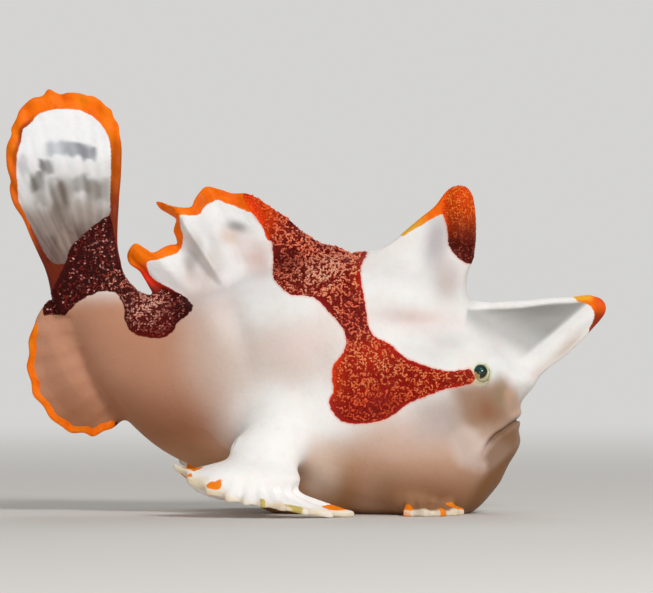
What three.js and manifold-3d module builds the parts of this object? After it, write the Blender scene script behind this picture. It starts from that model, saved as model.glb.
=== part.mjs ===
// Warty frogfish (Antennarius maculatus), juvenile, life size, in millimetres.
// +X is forward (snout), +Z is up, +Y is the animal's left side, z = 0 is the
// surface that it squats on.  The animal is a still model: no part moves.
//
// The body is one smooth field: named fleshy masses that flow into each other.
// Each node of the body is that field seen from one inner centre, parted from
// its neighbour by a thin plane cut.  Fins are sheets of rays between a buried
// root line and a margin, and are cut free of the flesh they grow from.

import * as THREE from 'three';
import { mergeVertices } from 'three/addons/utils/BufferGeometryUtils.js';
import Module from 'manifold-3d';

const wasm = await Module();
wasm.setup();

// ---------------------------------------------------------------- sizes (mm)
const GAP = 0.3;              // clearance between two neighbouring nodes
const BLEND = 2.2;            // how softly the fleshy masses flow together
const FIN_HALF = 0.26;        // half thickness of a fin at its margin
const EYE_R = 1.00;           // eyeball radius
const EYE_SINK = 0.52;        // eyeball centre lies this deep under the skin
const EYE_AT = [17.42, 13.98];   // eye centre in the side view [x, z]
const NECK_X = 3.4;           // cut between head and trunk
const SHIFT_X = -0.05;        // puts the middle of the length on x = 0

// fleshy masses: [x, z, half length, half height, half width, tilt in degrees]
const MASS = {
  belly:     [ 6.59,  6.36, 13.62,  6.68, 8.30,  -7.7],
  trunk:     [-0.25, 13.73, 14.70, 11.31, 7.50,  13.3],
  rear:      [-9.58, 13.15,  8.14,  9.85, 5.90,  71.3],
  stalk:     [-16.84, 16.16, 6.89,  4.71, 3.50, 122.9],
  tail_root: [-21.58, 22.43, 3.58,  4.96, 1.25,   8.5],
  nape:      [ 7.77, 20.74,  8.93,  4.14, 4.90, -14.0],
  head:      [13.96, 12.23,  6.94,  8.33, 6.80,  32.0],
  snout:     [18.11, 13.40,  4.30,  1.50, 3.60,  -3.5],
  chin:      [17.29,  6.87,  4.15,  1.61, 4.50,   7.3],
  throat:    [10.28,  3.10,  7.08,  3.58, 6.80, -11.6],
  seat:      [-1.00,  2.45,  5.20,  2.85, 4.80,  -8.0],   // the belly it squats on, under its weight
};

// fin margins in the side view [x, z], front to rear (tail: rear edge round to
// the front edge), and the two ends of the root line buried in the flesh
const TAIL_FIN = {
  margin: [[-24.6, 20.9], [-26.1, 24.7], [-27.5, 27.5], [-29.1, 31.0], [-29.7, 34.2], [-29.85, 36.9],
           [-28.9, 39.4], [-27.9, 41.0], [-25.7, 42.3], [-22.6, 42.0], [-20.5, 41.3], [-19.3, 40.0],
           [-18.45, 37.6], [-18.4, 33.9], [-18.75, 29.0], [-18.7, 25.2], [-18.0, 23.6]],
  rootA: [-23.6, 20.3], rootB: [-19.6, 21.6], rays: 9 };
const DORSAL_FIN = {
  margin: [[4.2, 25.4], [1.9, 26.8], [-0.5, 28.3], [-3.1, 30.3], [-5.8, 31.9], [-8.6, 32.3],
           [-9.9, 32.6], [-11.2, 31.3], [-11.6, 30.6], [-13.4, 30.7], [-14.8, 31.1], [-13.3, 29.6],
           [-12.9, 27.1], [-14.1, 26.6], [-16.1, 26.6], [-16.9, 27.0], [-17.7, 25.9], [-16.9, 24.3],
           [-15.2, 22.6], [-12.6, 21.0]],
  rootA: [2.5, 23.0], rootB: [-10.6, 19.0], rays: 12 };
const SPINE_2 = {
  margin: [[15.9, 20.9], [18.5, 20.85], [21.1, 20.95], [24.6, 21.4], [28.4, 21.7], [29.5, 21.35],
           [29.95, 20.3], [29.3, 19.1], [28.0, 17.6], [26.0, 15.7], [23.9, 14.25], [22.3, 13.3]],
  rootA: [15.4, 18.4], rootB: [20.6, 13.6] };
const SPINE_2_ROD = { from: [21.6, 13.9], to: [29.0, 20.5], half: 0.72 };
const SPINE_3 = {
  margin: [[5.3, 25.5], [7.5, 26.35], [10.0, 28.2], [13.0, 30.7], [14.1, 32.0], [15.3, 32.65],
           [16.5, 31.9], [17.05, 29.6], [17.05, 27.2], [16.5, 24.3], [16.1, 22.4], [15.6, 20.2]],
  rootA: [6.6, 23.0], rootB: [13.2, 19.0], half: [2.5, 1.25] };   // half thickness low, high
const ANAL_FIN = {
  margin: [[-17.8, 10.6], [-19.2, 8.5], [-21.2, 7.7], [-23.4, 8.1], [-25.5, 9.5], [-27.1, 11.8],
           [-27.8, 14.6], [-27.6, 17.3], [-26.7, 19.8], [-25.6, 21.2], [-24.7, 20.2], [-23.6, 18.4]],
  rootA: [-17.6, 11.6], rootB: [-22.4, 17.6], rays: 7 };

// pectoral limb of the right side: shoulder, forearm and wrist masses
// [x, y, z, radius along x, radius along y, radius along z], then the hand
const ARM = [[-2.5, -7.0, 8.8, 2.9, 2.4, 2.7],
             [-3.9, -9.0, 6.2, 3.3, 2.2, 2.5],
             [-5.3, -10.8, 3.7, 4.8, 2.7, 1.6],
             [-8.0, -11.6, 3.5, 2.6, 2.2, 1.2]];
// the rear fingers stay off the ground, the front ones lie on it
const HAND = { wrist: [-4.9, -10.6, 3.3], fingers: 10, start: 184, end: 356,
               length: [8.0, 5.2, 9.8], tipZ: [5.0, 3.6, 2.6, 1.9, 1.6, 1.35, 1.05, 0.65, 0.28, 0.2], half: 0.36 };
const PELVIC = { wrist: [10.6, -5.4, 1.0], fingers: 5, start: 262, end: 352,
                 length: [4.4, 5.2, 5.2], tipZ: [0.2, 0.2, 0.2, 0.2, 0.2], half: 0.36 };

// ------------------------------------------------------------- small helpers
const lerp = (a, b, t) => a + (b - a) * t;
const clamp = (v, a, b) => Math.min(b, Math.max(a, v));
const smooth = (v, a, b) => { const t = clamp((v - a) / (b - a), 0, 1); return t * t * (3 - 2 * t); };
const smin = (a, b, k) => {
  const h = Math.max(k - Math.abs(a - b), 0) / k;
  return Math.min(a, b) - h * h * k * 0.25;
};
// three values at the start, middle and end of 0..1, joined smoothly
const curve3 = ([a, b, c], s) => s < 0.5
  ? lerp(a, b, Math.sin(Math.PI * s)) : lerp(c, b, Math.sin(Math.PI * s));

// distance-like value of an ellipsoid, exact on its surface
function ellipsoid(u, v, w, a, b, c) {
  const k0 = Math.hypot(u / a, v / b, w / c);
  const k1 = Math.hypot(u / (a * a), v / (b * b), w / (c * c)) + 1e-9;
  return k0 * (k0 - 1) / k1;
}
function bodyField(x, y, z) {
  let d = null;
  for (const [cx, cz, a, c, b, tilt] of Object.values(MASS)) {
    const q = tilt * Math.PI / 180, co = Math.cos(q), si = Math.sin(q);
    const u = (x - cx) * co + (z - cz) * si, w = -(x - cx) * si + (z - cz) * co;
    const e = ellipsoid(u, y, w, a, b, c);
    d = d === null ? e : smin(d, e, BLEND);
  }
  return d;
}
function blobField(blobs, k) {
  return (x, y, z) => {
    let d = null;
    for (const [cx, cy, cz, a, b, c] of blobs) {
      const e = ellipsoid(x - cx, y - cy, z - cz, a, b, c);
      d = d === null ? e : smin(d, e, k);
    }
    return d;
  };
}

// closed triangle mesh -> manifold solid, and back
function solid(positions, index) {
  let g = new THREE.BufferGeometry();
  g.setAttribute('position', new THREE.Float32BufferAttribute(positions, 3));
  if (index) g.setIndex(index);
  return solidOf(g);
}
function solidOf(geometry) {
  let g = geometry.clone();
  for (const n of ['normal', 'uv']) g.deleteAttribute(n);
  g = mergeVertices(g, 1e-4);
  const m = new wasm.Mesh({ numProp: 3,
    vertProperties: new Float32Array(g.attributes.position.array),
    triVerts: new Uint32Array(g.index.array) });
  return new wasm.Manifold(m);
}
function geometryOf(man) {
  // keep the largest piece, so that a cut leaves no crumb behind
  const parts = man.decompose().sort((a, b) => b.volume() - a.volume());
  const m = parts[0].getMesh();
  let g = new THREE.BufferGeometry();
  g.setAttribute('position', new THREE.Float32BufferAttribute(m.vertProperties, 3));
  g.setIndex(Array.from(m.triVerts));
  return g;
}
const box = (x0, x1, y0, y1, z0, z1) => {
  const g = new THREE.BoxGeometry(x1 - x0, y1 - y0, z1 - z0);
  g.translate((x0 + x1) / 2, (y0 + y1) / 2, (z0 + z1) / 2);
  return solidOf(g);
};
// half space: everything on the side of the plane that its normal points to
function halfSpace(px, pz, angle, offset) {
  const g = new THREE.BoxGeometry(200, 200, 200);
  g.translate(100 + offset, 0, 0);
  g.rotateY(-angle * Math.PI / 180);
  g.translate(px, 0, pz);
  return solidOf(g);
}
const ABOVE_FLOOR = box(-60, 60, -60, 60, 0, 90);

// skin of a field, seen from one centre: rings of latitude from the right side
// (-Y) to the left side (+Y), so that the middle ring is the true side outline
function starSolid(field, [cx, cy, cz], level, rings, spokes, reach = 45) {
  const pos = [], idx = [];
  const hit = (dx, dy, dz) => {
    let lo = 0, hi = 0;
    for (let t = 0.25; t < reach; t += 0.25) {
      if (field(cx + dx * t, cy + dy * t, cz + dz * t) > level) { hi = t; break; }
      lo = t; hi = t + 0.25;
    }
    for (let i = 0; i < 22; i++) {
      const m = (lo + hi) / 2;
      if (field(cx + dx * m, cy + dy * m, cz + dz * m) > level) hi = m; else lo = m;
    }
    return hi;
  };
  const put = (dx, dy, dz) => {
    const t = hit(dx, dy, dz);
    pos.push(cx + dx * t, cy + dy * t, cz + dz * t);
  };
  put(0, -1, 0);
  for (let i = 1; i < rings; i++) {
    const a = Math.PI * i / rings;
    for (let j = 0; j < spokes; j++) {
      const b = 2 * Math.PI * j / spokes;
      put(Math.sin(a) * Math.cos(b), -Math.cos(a), Math.sin(a) * Math.sin(b));
    }
  }
  put(0, 1, 0);
  const last = pos.length / 3 - 1, id = (i, j) => 1 + (i - 1) * spokes + (j % spokes);
  for (let j = 0; j < spokes; j++) {
    idx.push(0, id(1, j), id(1, j + 1));
    for (let i = 1; i < rings - 1; i++)
      idx.push(id(i, j), id(i + 1, j), id(i + 1, j + 1), id(i, j), id(i + 1, j + 1), id(i, j + 1));
    idx.push(last, id(rings - 1, j + 1), id(rings - 1, j));
  }
  return outward(pos, idx);
}
// turn the faces round if the solid came out inside out
function outward(pos, idx) {
  let vol = 0;
  for (let k = 0; k < idx.length; k += 3) {
    const [a, b, c] = [idx[k] * 3, idx[k + 1] * 3, idx[k + 2] * 3];
    vol += pos[a] * (pos[b + 1] * pos[c + 2] - pos[b + 2] * pos[c + 1])
         - pos[a + 1] * (pos[b] * pos[c + 2] - pos[b + 2] * pos[c])
         + pos[a + 2] * (pos[b] * pos[c + 1] - pos[b + 1] * pos[c]);
  }
  if (vol < 0) for (let k = 0; k < idx.length; k += 3) [idx[k + 1], idx[k + 2]] = [idx[k + 2], idx[k + 1]];
  return solid(pos, idx);
}
// two skins over one grid of points, closed round the rim
function sheetSolid(cols, rows, faceA, faceB) {
  const pos = [], idx = [], n = (cols + 1) * (rows + 1);
  const id = (i, j) => i * (rows + 1) + j;
  for (const face of [faceA, faceB])
    for (let i = 0; i <= cols; i++) for (let j = 0; j <= rows; j++) pos.push(...face(i / cols, j / rows));
  for (let i = 0; i < cols; i++) for (let j = 0; j < rows; j++) {
    const [a, b, c, d] = [id(i, j), id(i + 1, j), id(i + 1, j + 1), id(i, j + 1)];
    idx.push(a, b, c, a, c, d, n + a, n + c, n + b, n + a, n + d, n + c);
  }
  const rim = [];
  for (let i = 0; i < cols; i++) rim.push(id(i, 0));
  for (let j = 0; j < rows; j++) rim.push(id(cols, j));
  for (let i = cols; i > 0; i--) rim.push(id(i, rows));
  for (let j = rows; j > 0; j--) rim.push(id(0, j));
  rim.forEach((a, k) => {
    const b = rim[(k + 1) % rim.length];
    idx.push(a, n + a, n + b, a, n + b, b);
  });
  return outward(pos, idx);
}

// ------------------------------------------------------------------ the fins
// sideways sway of each upright fin, as a function of place in the side view
const bump = (v, c, w) => Math.exp(-(((v - c) / w) ** 2));
function tailSway(x, z) {
  const up = clamp((z - 24) / 18, 0, 1);
  return 0.35 * up * Math.sin((x + 24) * 0.45) + 0.5 * up * up;
}
const DORSAL_HUB = [3.0, 6.5];     // the rays fan out from about here
function dorsalSway(x, z) {
  const a = Math.atan2(z - DORSAL_HUB[1], DORSAL_HUB[0] - x) * 180 / Math.PI;
  const out = clamp((Math.hypot(x - DORSAL_HUB[0], z - DORSAL_HUB[1]) - 18.0) / 9, 0, 1);
  const fold = -1.5 * bump(a, 58.5, 4.5) + 1.3 * bump(a, 50, 4.0) - 0.9 * bump(a, 43, 4)
             + 0.9 * bump(a, 66, 4) - 0.5 * bump(a, 73, 5);
  return fold * out;
}
const flat = () => 0;

function finSolid({ margin, rootA, rootB }, cols, rows, sway, half) {
  const path = new THREE.CatmullRomCurve3(margin.map(([x, z]) => new THREE.Vector3(x, 0, z)), false, 'centripetal');
  const rim = path.getSpacedPoints(cols);
  const side = sign => (s, t) => {
    const e = rim[Math.round(s * cols)];
    const rx = lerp(rootA[0], rootB[0], s), rz = lerp(rootA[1], rootB[1], s);
    const x = lerp(rx, e.x, t), z = lerp(rz, e.z, t);
    const inset = Math.min(Math.hypot(e.x - x, e.z - z), 20);
    return [x, sway(x, z) + sign * half(x, z, inset, s, t), z];
  };
  return sheetSolid(cols, rows, side(-1), side(1));
}
// rounded rise of thickness from the margin inwards
const dome = (d, reach) => Math.sqrt(Math.max(0, 1 - (1 - clamp(d / reach, 0, 1)) ** 2));

// a hand: rays spread like a fan from the wrist, webbed between the fingers
function handSolid(h, cols, rows) {
  const side = sign => (s, t) => {
    const a = lerp(h.start, h.end, s) * Math.PI / 180;
    const web = Math.abs(Math.cos(Math.PI * (h.fingers - 1) * s));
    const len = curve3(h.length, s) * lerp(0.84, 1, web) * t;
    const f = s * (h.fingers - 1), i = Math.min(Math.floor(f), h.fingers - 2);
    const tip = lerp(h.tipZ[i], h.tipZ[i + 1], f - i);
    // front fingers drop to the ground at once, rear ones rise near their ends
    const rise = smooth(tip, 1.8, 3.6), drop = lerp(t, Math.sin(Math.PI / 2 * t), 0.5);
    const mid = lerp(h.wrist[2] - 0.6 * rise * smooth(t, 0, 0.4), tip, lerp(drop, t * t, rise))
      + 0.3 * (1 - rise) * Math.sin(Math.PI * t);
    return [h.wrist[0] + len * Math.cos(a), h.wrist[1] + len * Math.sin(a),
            mid + sign * h.half * lerp(1.5, 1, t)];
  };
  return sheetSolid(cols, rows, side(-1), side(1));
}
const mirrorY = man => man.mirror([0, 1, 0]);

// ------------------------------------------------------------- build the body
const HEAD_EYE = [13.5, 0, 11.3], TRUNK_EYE = [-7.0, 0, 13.6], TAIL_EYE = [-20.3, 0, 21.0];
const STALK_CUT = { at: [-18.4, 18.8], angle: 131 };      // points to the tail
const frontOf = off => halfSpace(NECK_X, 0, 0, off);
const rearOf = off => halfSpace(NECK_X, 0, 180, off);
const tailOf = off => halfSpace(STALK_CUT.at[0], STALK_CUT.at[1], STALK_CUT.angle, off);
const bodyOf = off => halfSpace(STALK_CUT.at[0], STALK_CUT.at[1], STALK_CUT.angle + 180, off);

const headWhole = starSolid(bodyField, HEAD_EYE, 0, 20, 42);
const trunkWhole = starSolid(bodyField, TRUNK_EYE, 0, 18, 36);
const tailWhole = starSolid(bodyField, TAIL_EYE, 0, 12, 24);
// the same flesh, one gap larger, to cut the fins and limbs free
const grown = starSolid(bodyField, HEAD_EYE, GAP, 20, 42).intersect(frontOf(-0.2))
  .add(starSolid(bodyField, TRUNK_EYE, GAP, 18, 36).intersect(rearOf(-0.2)).intersect(bodyOf(-0.2)))
  .add(starSolid(bodyField, TAIL_EYE, GAP, 12, 24).intersect(tailOf(-0.2)));

// where the skin lies at one place of the side view
function skinY(x, z) {
  let lo = 0, hi = 12;
  for (let i = 0; i < 30; i++) { const m = (lo + hi) / 2; if (bodyField(x, m, z) > 0) hi = m; else lo = m; }
  return hi;
}
const eyeY = skinY(...EYE_AT) - EYE_SINK;
function ball(x, y, z, r, w, h) {
  const g = new THREE.SphereGeometry(r, w, h);
  g.rotateX(Math.PI / 2);
  g.translate(x, y, z);
  return solidOf(g);
}

// the mouth: a steep cleft, drawn as a prism that holds the lower jaw
function jawPrism(grow) {
  const line = [[22.5, 9.35], [21.2, 9.15], [20.2, 8.35], [18.3, 7.2], [17.5, 5.6], [17.6, 3.4], [15.6, -2.5], [26, -2.5], [26, 9.4]];
  const s = new THREE.Shape(line.map(([x, z]) => new THREE.Vector2(x, z)));
  const g = new THREE.ExtrudeGeometry(s, { depth: 30, bevelEnabled: false });
  g.translate(0, 0, -15);
  g.rotateX(Math.PI / 2);
  g.translate(grow, 0, -grow);
  return solidOf(g);
}

const headCut = headWhole.intersect(frontOf(GAP / 2)).intersect(ABOVE_FLOOR)
  .subtract(ball(EYE_AT[0], -eyeY, EYE_AT[1], EYE_R + GAP, 14, 9))
  .subtract(ball(EYE_AT[0], eyeY, EYE_AT[1], EYE_R + GAP, 14, 9));
const head = headCut.subtract(jawPrism(-GAP / 2));
const lowerJaw = headCut.intersect(jawPrism(GAP / 2));
const trunk = trunkWhole.intersect(rearOf(GAP / 2)).intersect(bodyOf(GAP / 2)).intersect(ABOVE_FLOOR);
const tail = tailWhole.intersect(tailOf(GAP / 2));

// ------------------------------------------------------------- fins and limbs
const tailFin = finSolid(TAIL_FIN, 27, 4, tailSway,
  (x, z, d, s) => FIN_HALF + 0.75 * clamp((27 - z) / 7, 0, 1) + 0.09 * Math.abs(Math.cos(Math.PI * s * TAIL_FIN.rays)) * dome(d, 3));
const dorsalFin = finSolid(DORSAL_FIN, 34, 4, dorsalSway,
  (x, z, d, s) => FIN_HALF + 1.25 * clamp((d - 2.2) / 6, 0, 1) ** 1.4);
const spine2 = finSolid(SPINE_2, 22, 4, flat, (x, z, d) => {
  const [ax, az] = SPINE_2_ROD.from, [bx, bz] = SPINE_2_ROD.to;
  const l2 = (bx - ax) ** 2 + (bz - az) ** 2;
  const k = clamp(((x - ax) * (bx - ax) + (z - az) * (bz - az)) / l2, 0, 1);
  const off = Math.hypot(x - lerp(ax, bx, k), z - lerp(az, bz, k));
  return FIN_HALF + (SPINE_2_ROD.half - FIN_HALF) * Math.sqrt(Math.max(0, 1 - (off / 1.3) ** 2));
});
const spine3 = finSolid(SPINE_3, 22, 4, flat, (x, z, d) => {
  const thick = lerp(...SPINE_3.half, clamp((z - 22) / 9, 0, 1));
  return 0.3 + (thick - 0.3) * dome(d, 5.0);
});
const analFin = finSolid(ANAL_FIN, 18, 3, (x, z) => 0.25 * Math.sin(x * 0.9 + z * 0.5),
  (x, z, d, s) => FIN_HALF + 0.5 * clamp((d - 2) / 4, 0, 1));

// the lure: a thin rod from the snout tip, folded back beside the second spine,
// with a small bait that rests between the second and third spines
const lureAt = (x, z, lift) => {
  let lo = 0, hi = 8;
  const zz = z;
  for (let i = 0; i < 30; i++) { const m = (lo + hi) / 2; if (bodyField(x, m, zz) > lift) hi = m; else lo = m; }
  return new THREE.Vector3(x, hi, zz);
};
const lurePath = new THREE.CatmullRomCurve3([
  lureAt(22.3, 13.0, 0.62), lureAt(21.4, 14.4, 0.62), lureAt(20.0, 15.6, 0.62),
  lureAt(18.5, 17.0, 0.62), lureAt(17.0, 18.5, 0.62), lureAt(15.6, 19.8, 0.62)]);
const round = new THREE.Shape();
round.absellipse(0, 0, 0.26, 0.26, 0, 2 * Math.PI, false, 0);
const rod = new THREE.ExtrudeGeometry(round, { steps: 8, bevelEnabled: false, extrudePath: lurePath, curveSegments: 4 });
const baitAt = lurePath.getPoint(1);
const illicium = solidOf(rod).add(ball(baitAt.x - 0.2, baitAt.y + 0.12, baitAt.z + 0.12, 0.55, 8, 6));

const armWhole = starSolid(blobField(ARM, 2.0), [-3.9, -8.8, 6.0], 0, 9, 16, 20);
const pectoralR = armWhole.add(handSolid(HAND, 27, 2)).subtract(grown).intersect(ABOVE_FLOOR);
const pelvicStem = starSolid(blobField([[9.4, -4.7, 2.2, 1.9, 1.9, 1.5], [10.8, -6.1, 1.1, 1.7, 1.5, 1.0]], 1.2), [10.2, -5.4, 1.6], 0, 6, 10, 10);
const pelvicR = pelvicStem.add(handSolid(PELVIC, 16, 2)).subtract(grown).intersect(ABOVE_FLOOR);

// ------------------------------------------------------------------ the group
const WHITE = 0xf3f1ee, CREAM = 0xe9ded2, RED = 0xb03a1c, ORANGE = 0xf5821e, GREY = 0xb9b6b2;
const group = new THREE.Group();
group.position.x = SHIFT_X;
function add(name, man, color, roughness = 0.45, metalness = 0) {
  const mesh = new THREE.Mesh(geometryOf(man), new THREE.MeshStandardMaterial({ color, roughness, metalness }));
  mesh.name = name;
  group.add(mesh);
}
add('head', head, WHITE);
add('lower_jaw', lowerJaw, CREAM);
add('trunk', trunk, WHITE);
add('tail_stalk', tail, RED);
add('caudal_fin', tailFin.subtract(grown), ORANGE);
add('soft_dorsal_fin', dorsalFin.subtract(grown), WHITE);
add('third_dorsal_spine', spine3.subtract(grown), WHITE);
add('second_dorsal_spine', spine2.subtract(grown).subtract(spine3.intersect(box(12, 19, -4, 4, 19, 26)).add(box(14, 16.25, -4, 4, 19, 23))), GREY);
add('illicium', illicium, CREAM);
add('anal_fin', analFin.subtract(grown), ORANGE);
add('pectoral_fin_right', pectoralR, WHITE);
add('pectoral_fin_left', mirrorY(pectoralR), WHITE);
add('pelvic_fin_right', pelvicR, CREAM);
add('pelvic_fin_left', mirrorY(pelvicR), CREAM);
add('eye_right', ball(EYE_AT[0], -eyeY, EYE_AT[1], EYE_R, 14, 9), 0x2a3d2a, 0.1);
add('eye_left', ball(EYE_AT[0], eyeY, EYE_AT[1], EYE_R, 14, 9), 0x2a3d2a, 0.1);

export default group;
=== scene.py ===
# Warty frogfish, juvenile, life size: skin, granules, eyes, light and camera
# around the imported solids.  Shapes are worked out in millimetres (+X snout,
# +Z up, +Y the animal's left) and written to Blender in metres.
import math

import bpy
import numpy as np
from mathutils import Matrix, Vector


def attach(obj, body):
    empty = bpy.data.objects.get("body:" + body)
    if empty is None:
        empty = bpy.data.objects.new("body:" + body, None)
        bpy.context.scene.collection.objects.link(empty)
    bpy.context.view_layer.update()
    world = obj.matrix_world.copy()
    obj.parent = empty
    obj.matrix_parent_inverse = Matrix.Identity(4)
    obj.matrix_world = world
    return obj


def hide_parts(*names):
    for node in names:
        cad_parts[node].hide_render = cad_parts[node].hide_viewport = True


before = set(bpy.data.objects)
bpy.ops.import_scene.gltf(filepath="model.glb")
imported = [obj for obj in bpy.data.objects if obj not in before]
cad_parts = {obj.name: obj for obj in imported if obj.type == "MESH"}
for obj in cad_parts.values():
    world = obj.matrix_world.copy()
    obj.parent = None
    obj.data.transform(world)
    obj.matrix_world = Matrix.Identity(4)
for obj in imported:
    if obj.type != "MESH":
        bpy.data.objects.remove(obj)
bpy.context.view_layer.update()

F = np.float32
SHIFT_X = -0.05               # the same shift as the solids
STEP = 0.155                  # spacing of the skin's grid
D2R = math.pi / 180

# the side view is drawn in tenths of a millimetre, x forward and y down, as
# seen from VIEW_D away on the animal's right
VIEW_X, VIEW_Z, VIEW_D = 2.15, 21.65, 600.0


def drawn(points):
    a = np.array(points, dtype=np.float64)
    return np.stack([(a[:, 0] - 305.0) / 10.0, (513.0 - a[:, 1]) / 10.0], 1)


# ------------------------------------------------------------ small helpers
def clamp(v, a=0.0, b=1.0):
    return np.minimum(np.maximum(v, a), b)


def lerp(a, b, t):
    return a + (b - a) * t


def ramp(v, a, b):
    t = clamp((v - a) / (b - a))
    return t * t * (3 - 2 * t)


def smin(a, b, k):
    h = np.maximum(k - np.abs(a - b), 0) / k
    return np.minimum(a, b) - h * h * k * 0.25


def smax(a, b, k):
    return -smin(-a, -b, k)


def bell(v, centre, width):
    return np.exp(-(((v - centre) / width) ** 2))


def bell2(x, z, cx, cz, rx, rz, tilt=0.0):
    c, s = math.cos(tilt * D2R), math.sin(tilt * D2R)
    u = (x - cx) * c + (z - cz) * s
    w = -(x - cx) * s + (z - cz) * c
    return np.exp(-((u / rx) ** 2 + (w / rz) ** 2))


def spline(points, closed=False, n=7):
    """Centripetal curve through the points."""
    p = np.asarray(points, dtype=np.float64)
    m = len(p)
    if closed:
        q = np.concatenate([p[-1:], p, p[:2]])
        spans = m
    else:
        q = np.concatenate([2 * p[:1] - p[1:2], p, 2 * p[-1:] - p[-2:-1]])
        spans = m - 1
    out = []
    for i in range(spans):
        a, b, c, d = q[i:i + 4]
        t0 = 0.0
        t1 = t0 + max(np.linalg.norm(b - a), 1e-6) ** 0.5
        t2 = t1 + max(np.linalg.norm(c - b), 1e-6) ** 0.5
        t3 = t2 + max(np.linalg.norm(d - c), 1e-6) ** 0.5
        t = np.linspace(t1, t2, n, endpoint=False)[:, None]
        a1 = (t1 - t) / (t1 - t0) * a + (t - t0) / (t1 - t0) * b
        a2 = (t2 - t) / (t2 - t1) * b + (t - t1) / (t2 - t1) * c
        a3 = (t3 - t) / (t3 - t2) * c + (t - t2) / (t3 - t2) * d
        b1 = (t2 - t) / (t2 - t0) * a1 + (t - t0) / (t2 - t0) * a2
        b2 = (t3 - t) / (t3 - t1) * a2 + (t - t1) / (t3 - t1) * a3
        out.append((t2 - t) / (t2 - t1) * b1 + (t - t1) / (t2 - t1) * b2)
    if not closed:
        out.append(p[-1:])
    return np.concatenate(out)


# side-view maps, 0.1 mm apart
MX0, MZ0, MS = -31.5, -3.0, 0.1
MNX, MNZ = 631, 481
map_x = (MX0 + MS * np.arange(MNX)).astype(F)
map_z = (MZ0 + MS * np.arange(MNZ)).astype(F)


def outline_map(poly, pad=4.0):
    """Signed distance to a closed outline: negative inside, pad far away."""
    poly = np.asarray(poly, dtype=F)
    lo, hi = poly.min(0) - pad, poly.max(0) + pad
    i0, i1 = np.searchsorted(map_x, [lo[0], hi[0]])
    j0, j1 = np.searchsorted(map_z, [lo[1], hi[1]])
    out = np.full((MNZ, MNX), pad, F)
    px = np.broadcast_to(map_x[None, i0:i1], (j1 - j0, i1 - i0))
    pz = np.broadcast_to(map_z[j0:j1, None], (j1 - j0, i1 - i0))
    best = np.full(px.shape, 1e9, F)
    inside = np.zeros(px.shape, bool)
    nxt = np.roll(poly, -1, axis=0)
    for (ax, az), (bx, bz) in zip(poly, nxt):
        ex, ez = bx - ax, bz - az
        l2 = ex * ex + ez * ez
        if l2 < 1e-10:
            continue
        t = np.clip(((px - ax) * ex + (pz - az) * ez) / l2, 0, 1)
        dx, dz = px - ax - t * ex, pz - az - t * ez
        np.minimum(best, dx * dx + dz * dz, out=best)
        if az != bz:
            cross = ((az > pz) != (bz > pz)) & (px < (bx - ax) * (pz - az) / (bz - az) + ax)
            inside ^= cross
    d = np.sqrt(best)
    d[inside] *= -1
    out[j0:j1, i0:i1] = np.minimum(d, pad)
    return out


def path_map(path, pad=4.0):
    """Distance to an open path and the share of its length at the nearest point."""
    path = np.asarray(path, dtype=F)
    seg = np.linalg.norm(np.diff(path, axis=0), axis=1)
    at = np.concatenate([[0], np.cumsum(seg)]) / seg.sum()
    px, pz = np.meshgrid(map_x, map_z)
    best = np.full(px.shape, 1e9, F)
    share = np.zeros(px.shape, F)
    for k in range(len(path) - 1):
        ax, az = path[k]
        ex, ez = path[k + 1] - path[k]
        l2 = max(float(ex * ex + ez * ez), 1e-9)
        t = np.clip(((px - ax) * ex + (pz - az) * ez) / l2, 0, 1)
        dx, dz = px - ax - t * ex, pz - az - t * ez
        d = dx * dx + dz * dz
        m = d < best
        best[m] = d[m]
        share[m] = (at[k] + t * (at[k + 1] - at[k]))[m]
    return np.sqrt(best), share


def look(maps, x, z):
    """Reads a map, or a stack of them, at side-view places."""
    u = np.clip((x - MX0) / MS, 0, MNX - 1.001)
    v = np.clip((z - MZ0) / MS, 0, MNZ - 1.001)
    i, j = u.astype(np.int32), v.astype(np.int32)
    fu, fv = (u - i).astype(F), (v - j).astype(F)
    if maps.ndim == 3:
        fu, fv = fu[:, None], fv[:, None]
    return ((maps[j, i] * (1 - fu) + maps[j, i + 1] * fu) * (1 - fv)
            + (maps[j + 1, i] * (1 - fu) + maps[j + 1, i + 1] * fu) * fv)


_lattice = {}


def noise(x, y, z, size, seed):
    """Smooth value noise, -1 to 1, with lumps about size mm across."""
    if seed not in _lattice:
        _lattice[seed] = np.random.default_rng(seed).uniform(-1, 1, (64, 64, 64)).astype(F)
    g = _lattice[seed]
    out = 0
    ix, fx = np.divmod((x / size + 101.3).astype(F), 1)
    iy, fy = np.divmod((y / size + 57.7).astype(F), 1)
    iz, fz = np.divmod((z / size + 83.1).astype(F), 1)
    ix, iy, iz = ix.astype(np.int32), iy.astype(np.int32), iz.astype(np.int32)
    fx, fy, fz = (f * f * (3 - 2 * f) for f in (fx, fy, fz))
    for a in (0, 1):
        wx = fx if a else 1 - fx
        for b in (0, 1):
            wy = fy if b else 1 - fy
            for c in (0, 1):
                wz = fz if c else 1 - fz
                out = out + wx * wy * wz * g[(ix + a) & 63, (iy + b) & 63, (iz + c) & 63]
    return out


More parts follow.
